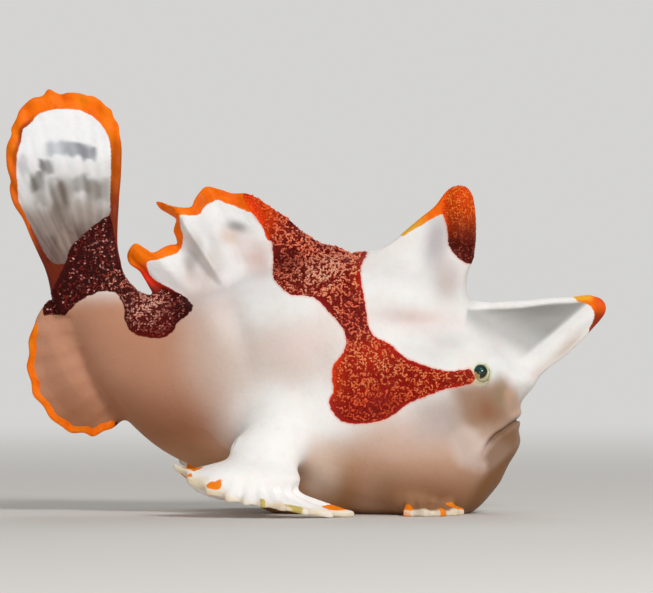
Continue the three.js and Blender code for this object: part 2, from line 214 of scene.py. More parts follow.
# ------------------------------------------------------------ the flesh (mm)
# fleshy masses: [x, z, half length, half height, half width, tilt in degrees]
BLEND = 2.2
MASS = [
    [6.59, 6.36, 13.62, 6.68, 8.30, -7.7],      # belly
    [-0.25, 13.73, 14.70, 11.31, 7.50, 13.3],   # trunk
    [-9.58, 13.15, 8.14, 9.85, 5.90, 71.3],     # rear
    [-16.84, 16.16, 6.89, 4.71, 3.50, 122.9],   # stalk
    [-21.58, 22.43, 3.58, 4.96, 1.25, 8.5],     # tail root
    [7.77, 20.74, 8.93, 4.14, 4.90, -14.0],     # nape
    [13.96, 12.23, 6.94, 8.33, 6.80, 32.0],     # head
    [18.11, 13.40, 4.30, 1.50, 3.60, -3.5],     # snout
    [17.29, 6.87, 4.15, 1.61, 4.50, 7.3],       # chin
    [10.28, 3.10, 7.08, 3.58, 6.80, -11.6],     # throat
    [-1.00, 2.45, 5.20, 2.85, 4.80, -8.0],      # seat: the belly it squats on
]


def ellipsoid(u, v, w, a, b, c):
    ua, vb, wc = u / F(a), v / F(b), w / F(c)
    k0 = np.sqrt(ua * ua + vb * vb + wc * wc)
    ua /= F(a)
    vb /= F(b)
    wc /= F(c)
    k1 = np.sqrt(ua * ua + vb * vb + wc * wc) + F(1e-9)
    return k0 * (k0 - 1) / k1


def masses(x, y, z):
    d = None
    for cx, cz, a, c, b, tilt in MASS:
        q = tilt * D2R
        co, si = F(math.cos(q)), F(math.sin(q))
        dx, dz = x - F(cx), z - F(cz)
        e = ellipsoid(dx * co + dz * si, y, dz * co - dx * si, a, b, c)
        d = e if d is None else smin(d, e, F(BLEND))
    return d


# ------------------------------------------------------------ the fin sheets
TAIL_EDGE = [(58, 314), (53.6, 288), (44, 266), (31, 238), (23, 219), (13.5, 204), (9.5, 188), (10.5, 181),
             (6.8, 166), (6.5, 147), (11.5, 134), (11, 129), (16.6, 118), (19, 111), (26, 103), (33, 98),
             (42.5, 95.5), (48.5, 89), (56, 92.5), (61, 94), (68, 92.5), (79.5, 93), (88, 95.5), (92, 95.5),
             (100, 100), (106, 106), (111, 109.5), (113.5, 117), (118, 124), (119.5, 134), (121.3, 144),
             (121.5, 158), (121, 174), (119, 200), (117.4, 236), (118, 262)]
TAIL_ROOT = [(109, 297), (69, 310)]
DORSAL_EDGE = [(347, 259), (337, 248), (324, 245), (300, 230), (288, 219), (274, 210), (258, 199), (247, 193.5),
               (232, 193), (219, 189), (206, 186.5), (199, 193), (194.5, 200), (191.5, 206.5), (182, 207.5),
               (169.4, 205.2), (163, 202.6), (155.8, 201.6), (160, 208.6), (169, 214.2), (176, 219.5),
               (174.5, 225.3), (173.4, 231), (176, 238), (176.5, 243.8), (170, 244.6), (164, 247), (153, 252.5), (144, 247.5), (136, 243.2), (131.5, 246),
               (127.5, 254), (130, 263), (139.5, 271), (145, 279), (152, 288), (165, 296), (180, 303)]
DORSAL_ROOT = [(199, 323), (330, 283)]
SPINE2_EDGE = [(464, 304), (471, 305), (490, 304.6), (516, 304), (551, 299.5), (573, 298.5), (589, 296),
               (600, 299.5), (604.5, 306), (604, 313), (599, 321), (592, 329), (585, 337), (565, 356),
               (544, 370), (530, 378)]
SPINE2_ROOT = [(511, 377), (459, 329)]
SPINE3_EDGE = [(358, 259), (380, 249), (392, 242), (405, 231), (419, 219), (435, 206), (446, 192), (456, 187),
               (463, 187), (469, 193), (474, 206), (475.5, 220), (475, 237), (474, 250), (472, 262), (469, 268),
               (466, 277), (464, 290), (465, 303), (461, 311)]
SPINE3_ROOT = [(437, 323), (371, 283)]
ANAL_EDGE = [(127, 407), (120, 421), (113, 428), (104, 431), (93, 436.5), (84, 433), (71, 433), (62, 427),
             (50, 418), (43, 406), (33, 395), (31, 382), (26.5, 367), (29, 354), (28.5, 340), (34, 326),
             (38, 315), (49, 302), (58, 311), (69, 329)]
ANAL_ROOT = [(81, 337), (129, 397)]

TAIL_HUB = (-20.0, 16.8)
DORSAL_HUB = (3.0, 6.5)
ANAL_HUB = (-10.5, 19.5)


def fin_outline(edge, root):
    return np.concatenate([spline(drawn(edge), n=6), drawn(root)])


gx, gz = np.meshgrid(map_x, map_z)
tail_d = outline_map(fin_outline(TAIL_EDGE, TAIL_ROOT))
dorsal_d = outline_map(fin_outline(DORSAL_EDGE, DORSAL_ROOT))
spine2_d = outline_map(fin_outline(SPINE2_EDGE, SPINE2_ROOT))
spine3_d = outline_map(fin_outline(SPINE3_EDGE, SPINE3_ROOT))
anal_d = outline_map(fin_outline(ANAL_EDGE, ANAL_ROOT))

# place along the fan of rays: whole numbers between the rays, halves on them
tail_angle = np.arctan2(gx - TAIL_HUB[0], gz - TAIL_HUB[1]) / D2R
tail_ray = (tail_angle + 31.5) / 36.5 * 9
dorsal_angle = np.arctan2(gz - DORSAL_HUB[1], DORSAL_HUB[0] - gx) / D2R
dorsal_ray = (dorsal_angle - 41.0) / 53.0 * 12
dorsal_out = np.hypot(gx - DORSAL_HUB[0], gz - DORSAL_HUB[1])
anal_angle = np.arctan2(ANAL_HUB[0] - gx, ANAL_HUB[1] - gz) / D2R
anal_ray = (anal_angle - 36.0) / 52.0 * 7


def ridge(phase, sharp=1.5):
    return clamp(0.5 - 0.5 * np.cos(2 * math.pi * phase)) ** sharp


def dome(d, reach):
    return np.sqrt(np.maximum(0, 1 - (1 - clamp(d / reach)) ** 2))


# half thickness of each sheet
tail_in = -tail_d
tail_half = (0.20 + 0.08 * dome(tail_in, 1.2) + 0.075 * ridge(tail_ray + 0.10 * np.sin(gz * 0.6 + gx), 1.0) * dome(tail_in, 2.0) * lerp(1.0, 0.35, ramp(gz, 33, 38))
             + 0.75 * clamp((27 - gz) / 7))
dorsal_in = -dorsal_d
dorsal_half = (0.22 + 0.16 * dome(dorsal_in - 0.5, 1.5) + 1.2 * clamp((dorsal_in - 2.0) / 6) ** 1.3
               + 0.035 * ridge(dorsal_ray) * dome(dorsal_in, 2.0))
anal_in = -anal_d
anal_half = 0.20 + 0.55 * clamp((anal_in - 1.6) / 4) + 0.12 * ridge(anal_ray, 1.2) * dome(anal_in, 2.0)
ROD2 = (drawn([(521, 374)])[0], drawn([(597, 308)])[0])
rod2 = ROD2[1] - ROD2[0]
rod2_t = clamp(((gx - ROD2[0][0]) * rod2[0] + (gz - ROD2[0][1]) * rod2[1]) / (rod2 ** 2).sum())
rod2_off = np.hypot(gx - ROD2[0][0] - rod2_t * rod2[0], gz - ROD2[0][1] - rod2_t * rod2[1])
spine2_half = 0.17 + 0.12 * bell(-spine2_d, 0.0, 0.45) * (gz > 19) + 0.25 * clamp((19 - gz) / 5)
THICK3 = (2.35, 0.72)
spine3_half = 0.32 + (lerp(THICK3[0], THICK3[1], ramp(gz, 21.0, 29.0)) - 0.32) * dome(-spine3_d, 4.2)

# sideways sway of each sheet's middle
tail_up = clamp((gz - 24) / 18)
tail_sway = (0.35 * tail_up * np.sin((gx + 24) * 0.45) + 0.5 * tail_up ** 2
             + 0.10 * np.sin(2 * math.pi * tail_ray) * ramp(tail_in, 2.2, 0.2) * ramp(gz, 27, 32)
             + 0.16 * np.sin(gz * 2.3 + gx) * ramp(tail_in, 1.8, 0.0) * ramp(gz, 27, 32))
dorsal_reach = clamp((dorsal_out - 18.0) / 9)
# pleats between the rays: sideways place of the fin at each angle of the fan
PLEATS = [(38, 0.0), (43, 0.5), (47, -0.5), (52, 0.85), (54.4, 0.65), (56.4, -1.15), (61.8, 0.05), (64, 0.75),
          (69, 0.55), (74, -0.25), (80, 0.1), (96, 0.0)]
fine_a = np.arange(30, 100, 0.1)
pleat = np.interp(fine_a, *zip(*PLEATS))
pleat = np.convolve(np.pad(pleat, 9, mode="edge"), np.hanning(21)[1:-1] / np.hanning(21)[1:-1].sum(), "valid")
dorsal_sway = np.interp(dorsal_angle, fine_a, pleat) * dorsal_reach
dorsal_sway = dorsal_sway + 0.10 * np.sin(2 * math.pi * dorsal_ray) * ramp(dorsal_in, 1.6, 0.1) * ramp(-gx, -1, 2)
anal_sway = 0.3 * np.sin(gx * 0.9 + gz * 0.5) + 0.10 * np.sin(2 * math.pi * anal_ray) * ramp(anal_in, 2.0, 0.2)

# all upright sheets in one set of maps: distance, half thickness, sway, slope, blend
stack = [(tail_d, tail_half, tail_sway, 1.2), (dorsal_d, dorsal_half, dorsal_sway, 1.6),
         (anal_d, anal_half, anal_sway, 1.2), (spine2_d, spine2_half, 0 * gx, 2.2),
         (spine3_d, spine3_half, 0 * gx, 2.0)]
sheet = np.zeros((MNZ, MNX, 5), F)
sheet[..., 0] = 4.0
sheet[..., 3:] = 1.0
for d, half, sway, soft in stack:
    sl_z, sl_x = np.gradient(sway, MS)
    m = d < sheet[..., 0]
    sheet[m] = np.stack([d, half, sway, 1 / np.sqrt(1 + sl_x ** 2 + sl_z ** 2), soft + 0 * d], -1)[m]


def tapered(x, y, z, a, b, ra, rb):
    """A round-ended rod from a to b with its two radii."""
    ax, ay, az = a
    ex, ey, ez = b[0] - ax, b[1] - ay, b[2] - az
    t = np.clip(((x - ax) * ex + (y - ay) * ey + (z - az) * ez) / (ex * ex + ey * ey + ez * ez), 0, 1)
    return np.sqrt((x - ax - t * ex) ** 2 + (y - ay - t * ey) ** 2 + (z - az - t * ez) ** 2) - (ra + (rb - ra) * t)


# ----------------------------------------------------------- limbs and hands
ARM = [[-2.5, -7.0, 8.8, 2.9, 2.4, 2.7],
       [-3.9, -9.0, 6.2, 3.3, 2.2, 2.5],
       [-5.3, -10.8, 3.7, 4.8, 2.7, 1.6],
       [-8.0, -11.6, 3.5, 2.6, 2.2, 1.2]]
HAND = dict(wrist=(-4.9, -10.6, 3.3), fingers=10, start=184.0, end=356.0, length=(8.0, 5.2, 9.8),
            tip=(5.0, 3.6, 2.6, 1.9, 1.6, 1.35, 1.05, 0.65, 0.28, 0.2), half=0.27)
PELVIC = dict(wrist=(10.6, -5.4, 1.0), fingers=5, start=262.0, end=352.0, length=(4.4, 5.2, 5.2),
              tip=(0.2,) * 5, half=0.36)
PELVIC_STEM = [[9.4, -4.7, 2.2, 1.9, 1.9, 1.5], [10.8, -6.1, 1.1, 1.7, 1.5, 1.0]]


def blobs(x, y, z, parts, k):
    d = None
    for cx, cy, cz, a, b, c in parts:
        e = ellipsoid(x - F(cx), y - F(cy), z - F(cz), a, b, c)
        d = e if d is None else smin(d, e, F(k))
    return d


def fan_place(h, x, y):
    """Place in a hand's fan: finger number, share of its length, side distance."""
    dx, dy = x - h["wrist"][0], y - h["wrist"][1]
    r = np.hypot(dx, dy)
    a = np.mod(np.arctan2(dy, dx) / D2R, 360.0)
    mid = (h["start"] + h["end"]) / 2
    a = np.where(a < mid - 180, a + 360, np.where(a > mid + 180, a - 360, a))
    s = (a - h["start"]) / (h["end"] - h["start"])
    over = np.maximum(np.maximum(-s, s - 1), 0) * (h["end"] - h["start"])
    side = r * np.sin(np.minimum(over, 90) * D2R)
    s = clamp(s)
    l0, l1, l2 = h["length"]
    bow = np.sin(math.pi * s)
    length = np.where(s < 0.5, lerp(l0, l1, bow), lerp(l2, l1, bow))
    return s * (h["fingers"] - 1), r, length, side


def hand(h, x, y, z):
    f, r, length, side = fan_place(h, x, y)
    # rays lie at whole numbers of f, webs between them
    ray = clamp(0.5 + 0.5 * np.cos(2 * math.pi * f)) ** 1.3
    reach = length * (0.91 + 0.09 * ray)
    t = clamp(r / reach)
    tips = np.array(h["tip"] + h["tip"][-1:], F)
    i = np.minimum(f.astype(np.int32), h["fingers"] - 1)
    tip = lerp(tips[i], tips[i + 1], f - i)
    # front fingers drop to the ground at once, rear ones rise only near their ends
    rise = ramp(tip, 1.8, 3.6)
    mid = lerp(h["wrist"][2] - 0.6 * rise * ramp(t, 0.0, 0.4), tip, lerp(lerp(t, np.sin(math.pi / 2 * t), 0.5), t * t, rise))
    mid += 0.30 * (1 - rise) * np.sin(math.pi * t)
    half = h["half"] * (0.70 + 0.42 * ray * ramp(t, 0.15, 0.6)) * lerp(1.6, 1.0, t)
    w1 = np.maximum(r - reach, side - 0.30) + 0.20
    w2 = np.abs(z - mid) * 0.88 - half + 0.20
    return np.minimum(np.maximum(w1, w2), 0) + np.hypot(np.maximum(w1, 0), np.maximum(w2, 0)) - 0.20


# ----------------------------------------------------------------- the head
EYE_R, EYE_SINK = 1.00, 0.52
EYE_XZ = (17.42, 13.98)
# the lower jaw in the side view; its rear edge is the cleft of the mouth
JAW = drawn([(540, 408), (513, 422), (503, 429), (495, 434), (488, 442), (481.5, 455), (483.5, 464), (485.5, 471),
             (480, 481), (468, 502), (455, 535), (560, 535), (560, 408)])
jaw_d = outline_map(np.concatenate([spline(JAW[:9], n=5), JAW[9:]]))


def forms(x, ay, z):
    """Low swellings and hollows of the flesh (mm, positive swells)."""
    s = 0.0
    # nape: a soft valley behind the brow and a crest below the third spine
    s = s + 0.30 * bell2(x, z, 9.5, 23.0, 3.6, 2.2, -10)
    s = s - 0.42 * bell2(x, z, 10.0, 19.0, 4.2, 1.1, -6)
    s = s + 0.28 * bell2(x, z, 12.5, 16.9, 3.4, 1.0, -8)
    s = s - 0.30 * bell2(x, z, 15.2, 17.7, 1.3, 1.3, 0)
    # brow over the eye and the ridge to the second spine
    s = s + 0.25 * bell2(x, z, 19.4, 15.6, 2.2, 0.9, 30)
    s = s - 0.24 * bell2(x, z, 19.5, 13.4, 0.8, 0.7, 0)
    s = s + 0.22 * bell2(x, z, 22.3, 13.2, 0.7, 0.6, 0)
    s = s + 0.24 * bell2(x, z, 21.3, 10.0, 0.55, 0.7, 0)
    # upper jaw bone, hollow below the eye, cheek lobe
    s = s - 0.38 * bell2(x, z, 18.5, 11.0, 1.2, 1.9, -12)
    s = s + 0.26 * bell2(x, z, 20.6, 11.4, 0.8, 1.6, -10)
    s = s + 0.34 * bell2(x, z, 16.6, 7.2, 1.3, 2.0, 10)
    s = s - 0.20 * bell2(x, z, 14.3, 8.2, 0.9, 3.0, 15)
    # flank: folds that run down from the back to the limb
    s = s + 0.30 * bell2(x, z, -1.5, 17.2, 2.6, 4.2, 20)
    s = s - 0.34 * bell2(x, z, -6.6, 18.6, 1.2, 4.4, 18)
    s = s + 0.24 * bell2(x, z, -9.6, 19.6, 1.5, 3.2, 25)
    s = s - 0.28 * bell2(x, z, 2.6, 13.0, 1.2, 4.0, 25)
    s = s - 0.35 * bell2(x, z, -9.2, 9.2, 1.6, 4.5, -25)
    s = s + 0.25 * bell2(x, z, 7.5, 9.0, 3.2, 3.0, 0)
    return s


def eye_place():
    lo, hi = np.zeros(1, F), np.full(1, 12, F)
    x, z = np.full(1, EYE_XZ[0], F), np.full(1, EYE_XZ[1], F)
    for _ in range(30):
        m = (lo + hi) / 2
        out = masses(x, m, z) > 0
        hi, lo = np.where(out, m, hi), np.where(out, lo, m)
    return float(hi[0]) - EYE_SINK


EYE_Y = eye_place()


def lure_points():
    side = [(22.3, 13.0), (21.4, 14.4), (20.0, 15.6), (18.5, 17.0), (17.0, 18.5), (15.6, 19.8)]
    pts = []
    for sx, sz in side:
        lo, hi = np.zeros(1, F), np.full(1, 8, F)
        x, z = np.full(1, sx, F), np.full(1, sz, F)
        for _ in range(30):
            m = (lo + hi) / 2
            out = masses(x, m, z) > 0.62
            hi, lo = np.where(out, m, hi), np.where(out, lo, m)
        pts.append((sx, float(hi[0]), sz))
    return spline(pts, n=4)


LURE = lure_points()


def within(x, y, z, lo, hi):
    return np.flatnonzero((x > lo[0]) & (x < hi[0]) & (y > lo[1]) & (y < hi[1]) & (z > lo[2]) & (z < hi[2]))


def field(x, y, z):
    """The whole skin, negative inside, close to a distance in mm."""
    ay = np.abs(y)
    f = masses(x, y, z)
    near = np.flatnonzero(np.abs(f) < 2.5)
    f[near] -= (forms(x[near], ay[near], z[near])
                + 0.10 * noise(x[near], y[near], z[near], 2.9, 3)) * ramp(z[near], 0.5, 2.5)

    # mouth: cleft, lips and a jaw that sits a little inside the cheek
    m = within(x, ay, z, (14, -1, 1.5), (25, 9, 12.5))
    if len(m):
        jd = look(jaw_d, x[m], z[m])
        live = lerp(0.25, 1.0, ramp(z[m], 4.6, 7.0)) * ramp(z[m], 2.6, 4.0) * ramp(x[m], 15.5, 17.0) * ramp(z[m], 11.5, 9.8)
        f[m] += live * (0.28 * bell(jd, 0.0, 0.17) - 0.12 * bell(jd, 0.50, 0.34)
                        - 0.13 * bell(jd, -0.50, 0.32) + 0.16 * ramp(-jd, 0.0, 1.6) * ramp(-jd, 3.0, 1.6))

    # upright fins
    g = look(sheet, x, z)
    d2, half, sway, slope, soft = g[:, 0], g[:, 1], g[:, 2], g[:, 3], g[:, 4]
    r = F(0.17)
    w2 = np.abs(y - sway) * slope - half + r
    w1 = d2 + r
    fin = np.minimum(np.maximum(w1, w2), 0) + np.hypot(np.maximum(w1, 0), np.maximum(w2, 0)) - r
    m = within(x, ay, z, (13.5, -1, 9), (31, 5, 34))
    if len(m):
        xm, ym, zm = x[m], y[m], z[m]
        a, b = drawn([(516, 378), (596, 307.5)])
        rod = tapered(xm, ym, zm, (a[0], 0, a[1]), (b[0], 0, b[1]), 0.92, 0.62)
        a, b = drawn([(470, 308), (588, 299.5)])
        rim = tapered(xm, ym, zm, (a[0], 0, a[1]), (b[0], 0, b[1]), 0.42, 0.30)
        a, b, c = drawn([(459.5, 199.5), (460.5, 236), (466.5, 254)])
        knob = smin(tapered(xm, ym, zm, (a[0], 0, a[1]), (b[0], 0, b[1]), 1.27, 1.22),
                    tapered(xm, ym, zm, (b[0], 0, b[1]), (c[0], 0, c[1]), 1.15, 0.58), 0.8)
        a, b = drawn([(460.5, 256), (452.5, 306)])
        post = tapered(xm, ym, zm, (a[0], 0, a[1]), (b[0], 0, b[1]), 0.70, 1.2)
        fm = smin(smin(fin[m], rod, 0.9), rim, 0.5)
        fm = smin(fm, smin(post, knob, 0.7), 0.45)
        fin[m] = fm
    f = smin(f, fin, soft)

    # pectoral limbs
    m = within(x, ay, z, (-16, 2.5, -2), (8, 20, 15))
    if len(m):
        xm, ym, zm = x[m], -ay[m], z[m]
        arm = blobs(xm, ym, zm, ARM, 2.2)
        arm = smin(arm, hand(HAND, xm, ym, zm), 1.5)
        f[m] = smin(f[m], arm, 2.6)
        # gill opening: a small pore behind the limb
        pore = np.sqrt((xm + 6.6) ** 2 + (ym + 9.3) ** 2 + ((zm - 6.9) * 0.8) ** 2)
        f[m] += 0.45 * bell(pore, 0.0, 0.34) - 0.12 * bell(pore, 0.62, 0.25)
    # pelvic fins
    m = within(x, ay, z, (6, 1.5, -2), (18, 13, 6))
    if len(m):
        xm, ym, zm = x[m], -ay[m], z[m]
        pel = blobs(xm, ym, zm, PELVIC_STEM, 1.2)
        pel = smin(pel, hand(PELVIC, xm, ym, zm), 0.6)
        f[m] = smin(f[m], pel, 1.0)
    # lids and sockets
    m = within(x, ay, z, (14.5, 2.5, 11.5), (21, 8, 17.5))
    if len(m):
        dx, dy, dz = x[m] - F(EYE_XZ[0]), ay[m] - F(EYE_Y), z[m] - F(EYE_XZ[1])
        ring = np.hypot(np.hypot(dx, dz) - 0.97, dy - 0.40) - 0.13
        fm = smin(f[m], ring, 0.35)
        ball = np.sqrt(dx * dx + dy * dy + dz * dz)
        f[m] = smax(fm, EYE_R + 0.02 - ball, 0.08)
    # lure: thin rod laid back beside the second spine, with a small bait
    m = within(x, y, z, (14, 0, 12), (23.5, 9, 21.5))
    if len(m):
        xm, ym, zm = x[m], y[m], z[m]
        rod = None
        for k in range(len(LURE) - 1):
            e = tapered(xm, ym, zm, LURE[k], LURE[k + 1], 0.26, 0.26)
            rod = e if rod is None else np.minimum(rod, e)
        a = LURE[0]
        foot = tapered(xm, ym, zm, (a[0] + 0.1, a[1] - 0.9, a[2] - 0.2), a, 0.45, 0.30)
        e = LURE[-1]
        bait = ellipsoid(xm - F(e[0] - 0.2), ym - F(e[1] + 0.1), zm - F(e[2] + 0.12), 0.72, 0.40, 0.46)
        fan = ellipsoid(xm - F(e[0] - 0.95), ym - F(e[1] + 0.1), zm - F(e[2] + 0.45), 0.42, 0.24, 0.40)
        lure = smin(smin(rod, foot, 0.3), smin(bait, fan, 0.25), 0.25)
        f[m] = smin(f[m], lure, 0.30)
    # flats on the floor
    return smax(f, -z, F(0.16))


# ------------------------------------------------------- skin over the field
def in_chunks(x, y, z, size=600000):
    out = np.empty(len(x), F)
    for i in range(0, len(x), size):
        out[i:i + size] = field(x[i:i + size], y[i:i + size], z[i:i + size])
    return out


def surface(step):
    nb = 8
    lo = np.array([-31.2, -17.2, -1.0])
    hi = np.array([31.2, 17.2, 43.4])
    blocks = np.ceil((hi - lo) / (step * nb)).astype(int)
    n = blocks * nb + 1
    bi = np.stack(np.meshgrid(*[np.arange(b) for b in blocks], indexing="ij"), -1).reshape(-1, 3)
    mid = (lo + (bi + 0.5) * nb * step).astype(F)
    fc = in_chunks(mid[:, 0].copy(), mid[:, 1].copy(), mid[:, 2].copy())
    near = np.abs(fc) < 0.5 * nb * step * math.sqrt(3) * 1.5 + 0.25
    full = np.full(n, 9.0, F)
    for b, v in zip(bi[~near], fc[~near]):
        if v < 0:
            i, j, k = b * nb
            full[i:i + nb + 1, j:j + nb + 1, k:k + nb + 1] = -9.0
    o = np.stack(np.meshgrid(*[np.arange(nb + 1)] * 3, indexing="ij"), -1).reshape(-1, 3)
    act = bi[near]
    for s in range(0, len(act), 700):
        cell = (act[s:s + 700, None] * nb + o[None]).reshape(-1, 3)
        p = (lo + cell * step).astype(F)
        full[cell[:, 0], cell[:, 1], cell[:, 2]] = field(p[:, 0].copy(), p[:, 1].copy(), p[:, 2].copy())
    inside = full < 0
    c = inside.astype(np.uint8)
    count = (c[:-1, :-1, :-1] + c[1:, :-1, :-1] + c[:-1, 1:, :-1] + c[1:, 1:, :-1]
             + c[:-1, :-1, 1:] + c[1:, :-1, 1:] + c[:-1, 1:, 1:] + c[1:, 1:, 1:])
    cells = np.argwhere((count > 0) & (count < 8))
    lookup = np.full(count.shape, -1, np.int32)
    lookup[cells[:, 0], cells[:, 1], cells[:, 2]] = np.arange(len(cells))
    corner = {}
    for a in (0, 1):
        for b in (0, 1):
            for d in (0, 1):
                corner[a, b, d] = full[cells[:, 0] + a, cells[:, 1] + b, cells[:, 2] + d]
    total = np.zeros((len(cells), 3))
    weight = np.zeros(len(cells))
    for axis in range(3):
        for u in (0, 1):
            for v in (0, 1):
                s = [u, v]
                s.insert(axis, 0)
                e = [u, v]
                e.insert(axis, 1)
                fa, fb = corner[tuple(s)], corner[tuple(e)]
                hit = (fa < 0) != (fb < 0)
                t = np.where(hit, fa / np.where(fa == fb, 1, fa - fb), 0)
                p = np.array(s, float)[None] + t[:, None] * (np.array(e, float) - s)[None]
                total[hit] += p[hit]
                weight[hit] += 1
    verts = lo + (cells + total / weight[:, None]) * step
    quads = []
    for axis in range(3):
        a = [slice(None)] * 3
        b = [slice(None)] * 3
        a[axis], b[axis] = slice(0, -1), slice(1, None)
        sa, sb = inside[tuple(a)], inside[tuple(b)]
        e = np.argwhere(sa != sb)
        o1, o2 = (axis + 1) % 3, (axis + 2) % 3
        e = e[(e[:, o1] > 0) & (e[:, o2] > 0)]
        out = sa[e[:, 0], e[:, 1], e[:, 2]]
        ring = []
        for d1, d2 in ((1, 1), (0, 1), (0, 0), (1, 0)):
            q = e.copy()
            q[:, o1] -= d1
            q[:, o2] -= d2
            ring.append(lookup[q[:, 0], q[:, 1], q[:, 2]])
        q = np.stack(ring, 1)
        q[~out] = q[~out][:, ::-1]
        quads.append(q)
    return verts, np.concatenate(quads)


def slope_of(p, e=0.03):
    x, y, z = (p[:, i].astype(F) for i in range(3))
    g = np.stack([in_chunks(x + F(e), y, z) - in_chunks(x - F(e), y, z),
                  in_chunks(x, y + F(e), z) - in_chunks(x, y - F(e), z),
                  in_chunks(x, y, z + F(e)) - in_chunks(x, y, z - F(e))], 1) / (2 * e)
    return g


def settle(p, rounds):
    for _ in range(rounds):
        g = slope_of(p)
        f = in_chunks(*(p[:, i].astype(F) for i in range(3)))
        g2 = np.maximum((g * g).sum(1), 0.15)
        move = -(f / g2)[:, None] * g
        far = np.linalg.norm(move, axis=1)
        move *= np.minimum(1, 0.6 * STEP / np.maximum(far, 1e-9))[:, None]
        p = p + move
    return p


def largest(verts, quads):
    """Keeps the one connected body."""
    n = len(verts)
    e = np.concatenate([quads[:, [0, 1]], quads[:, [1, 2]], quads[:, [2, 3]]])
    lab = np.arange(n)
    while True:
        m = np.minimum(lab[e[:, 0]], lab[e[:, 1]])
        new = lab.copy()
        np.minimum.at(new, lab[e[:, 0]], m)
        np.minimum.at(new, lab[e[:, 1]], m)
        new = new[new]
        new = new[new]
        if (new == lab).all():
            break
        lab = new
    ids, counts = np.unique(lab, return_counts=True)
    keep = lab == ids[counts.argmax()]
    index = np.cumsum(keep) - 1
    return verts[keep], index[quads[keep[quads[:, 0]]]]


verts, quads = surface(STEP)
verts, quads = largest(verts, quads)
verts = settle(verts, 2)


# ------------------------------------------------------- map of the skin
def unwrap(points, quads, group):
    """An unwrap of the skin's own shape: charts seen along six directions, laid
    side by side.  Gives a place for each corner of each face."""
    n, nv = len(quads), len(points)
    p = points[quads].astype(float)
    nrm = np.cross(p[:, 2] - p[:, 0], p[:, 3] - p[:, 1])
    nrm /= np.linalg.norm(nrm, axis=1)[:, None] + 1e-12
    soft = nrm
    for _ in range(5):
        acc = np.stack([sum(np.bincount(quads[:, k], soft[:, i], nv) for k in range(4)) for i in range(3)], 1)
        soft = acc[quads].sum(1)
        soft /= np.linalg.norm(soft, axis=1)[:, None] + 1e-12
    ways = np.array([[1, 0, 0], [-1, 0, 0], [0, 1, 0], [0, -1, 0], [0, 0, 1], [0, 0, -1]], float)
    fits = nrm @ ways.T
    lab = np.argmax(soft @ ways.T * [0.8, 0.8, 1.25, 1.25, 0.95, 0.95] - 9.0 * (fits < 0.15), 1) + 6 * group
    # neighbours across each edge
    e = np.concatenate([quads[:, [k, (k + 1) % 4]] for k in range(4)])
    key = e.min(1).astype(np.int64) * nv + e.max(1)
    face = np.tile(np.arange(n), 4)
    o = np.argsort(key, kind="stable")
    twin = np.flatnonzero(key[o][1:] == key[o][:-1])
    fa, fb = face[o][twin], face[o][twin + 1]

    def charts():
        m = lab[fa] == lab[fb]
        a, b = fa[m], fb[m]
        own = np.arange(n)
        while True:
            low = np.minimum(own[a], own[b])
            new = own.copy()
            np.minimum.at(new, own[a], low)
            np.minimum.at(new, own[b], low)
            for _ in range(3):
                new = new[new]
            if (new == own).all():
                return np.unique(own, return_inverse=True)[1]
            own = new

    # small charts join a neighbour that they can be seen with
    for _ in range(3):
        chart = charts()
        small = np.bincount(chart)[chart] < 400
        for _ in range(25):
            moved = 0
            for a, b in ((fa, fb), (fb, fa)):
                m = small[a] & ~small[b] & (fits[a, lab[b] % 6] > 0.12)
                lab[a[m]] = lab[b[m]]
                small[a[m]] = False
                moved += int(m.sum())
            if not moved:
                break
    chart = charts()
    count = chart.max() + 1
    flat = np.empty((n, 4, 2))
    for k, (i, j, sign) in enumerate(((1, 2, 1), (1, 2, -1), (0, 2, -1), (0, 2, 1), (0, 1, 1), (0, 1, -1))):
        m = lab % 6 == k
        flat[m, :, 0] = sign * p[m][:, :, i]
        flat[m, :, 1] = p[m][:, :, j]
    lo = np.full((count, 2), 1e9)
    hi = np.full((count, 2), -1e9)
    np.minimum.at(lo, chart, flat.min(1))
    np.maximum.at(hi, chart, flat.max(1))
    gap = 0.35
    box = hi - lo + gap
    order = np.argsort(-box[:, 1], kind="stable")
    best = None
    for width in np.arange(20, 180, 2.0):
        at = np.zeros((count, 2))
        px = py = tall = 0.0
        for c in order:
            if px + box[c, 0] > width and px > 0:
                py += tall
                px = tall = 0.0
            at[c] = px, py
            px += box[c, 0]
            tall = max(tall, box[c, 1])
        side = max(width, py + tall, box[:, 0].max())
        if best is None or side < best[0]:
            best = (side, at)
    side, at = best
    return (flat - lo[chart][:, None] + at[chart][:, None] + gap / 2) / side


def chart_group(points, quads):
    """Parts that would hide each other in one chart: the body, the limbs, the lure."""
    mid = points[quads].mean(1).astype(F)
    x, y, z = mid[:, 0], mid[:, 1], mid[:, 2]
    body = masses(x, y, z)
    limb = (body > 0.9) & (np.abs(y) > 5) & (z < 11) & (x < 8)
    lure = (body > 0.30) & (y > 2.2) & (x > 14) & (z > 14) & (np.hypot(x - EYE_XZ[0], z - EYE_XZ[1]) > 1.7)
    return np.where(limb, 1, np.where(lure, 2, 0))


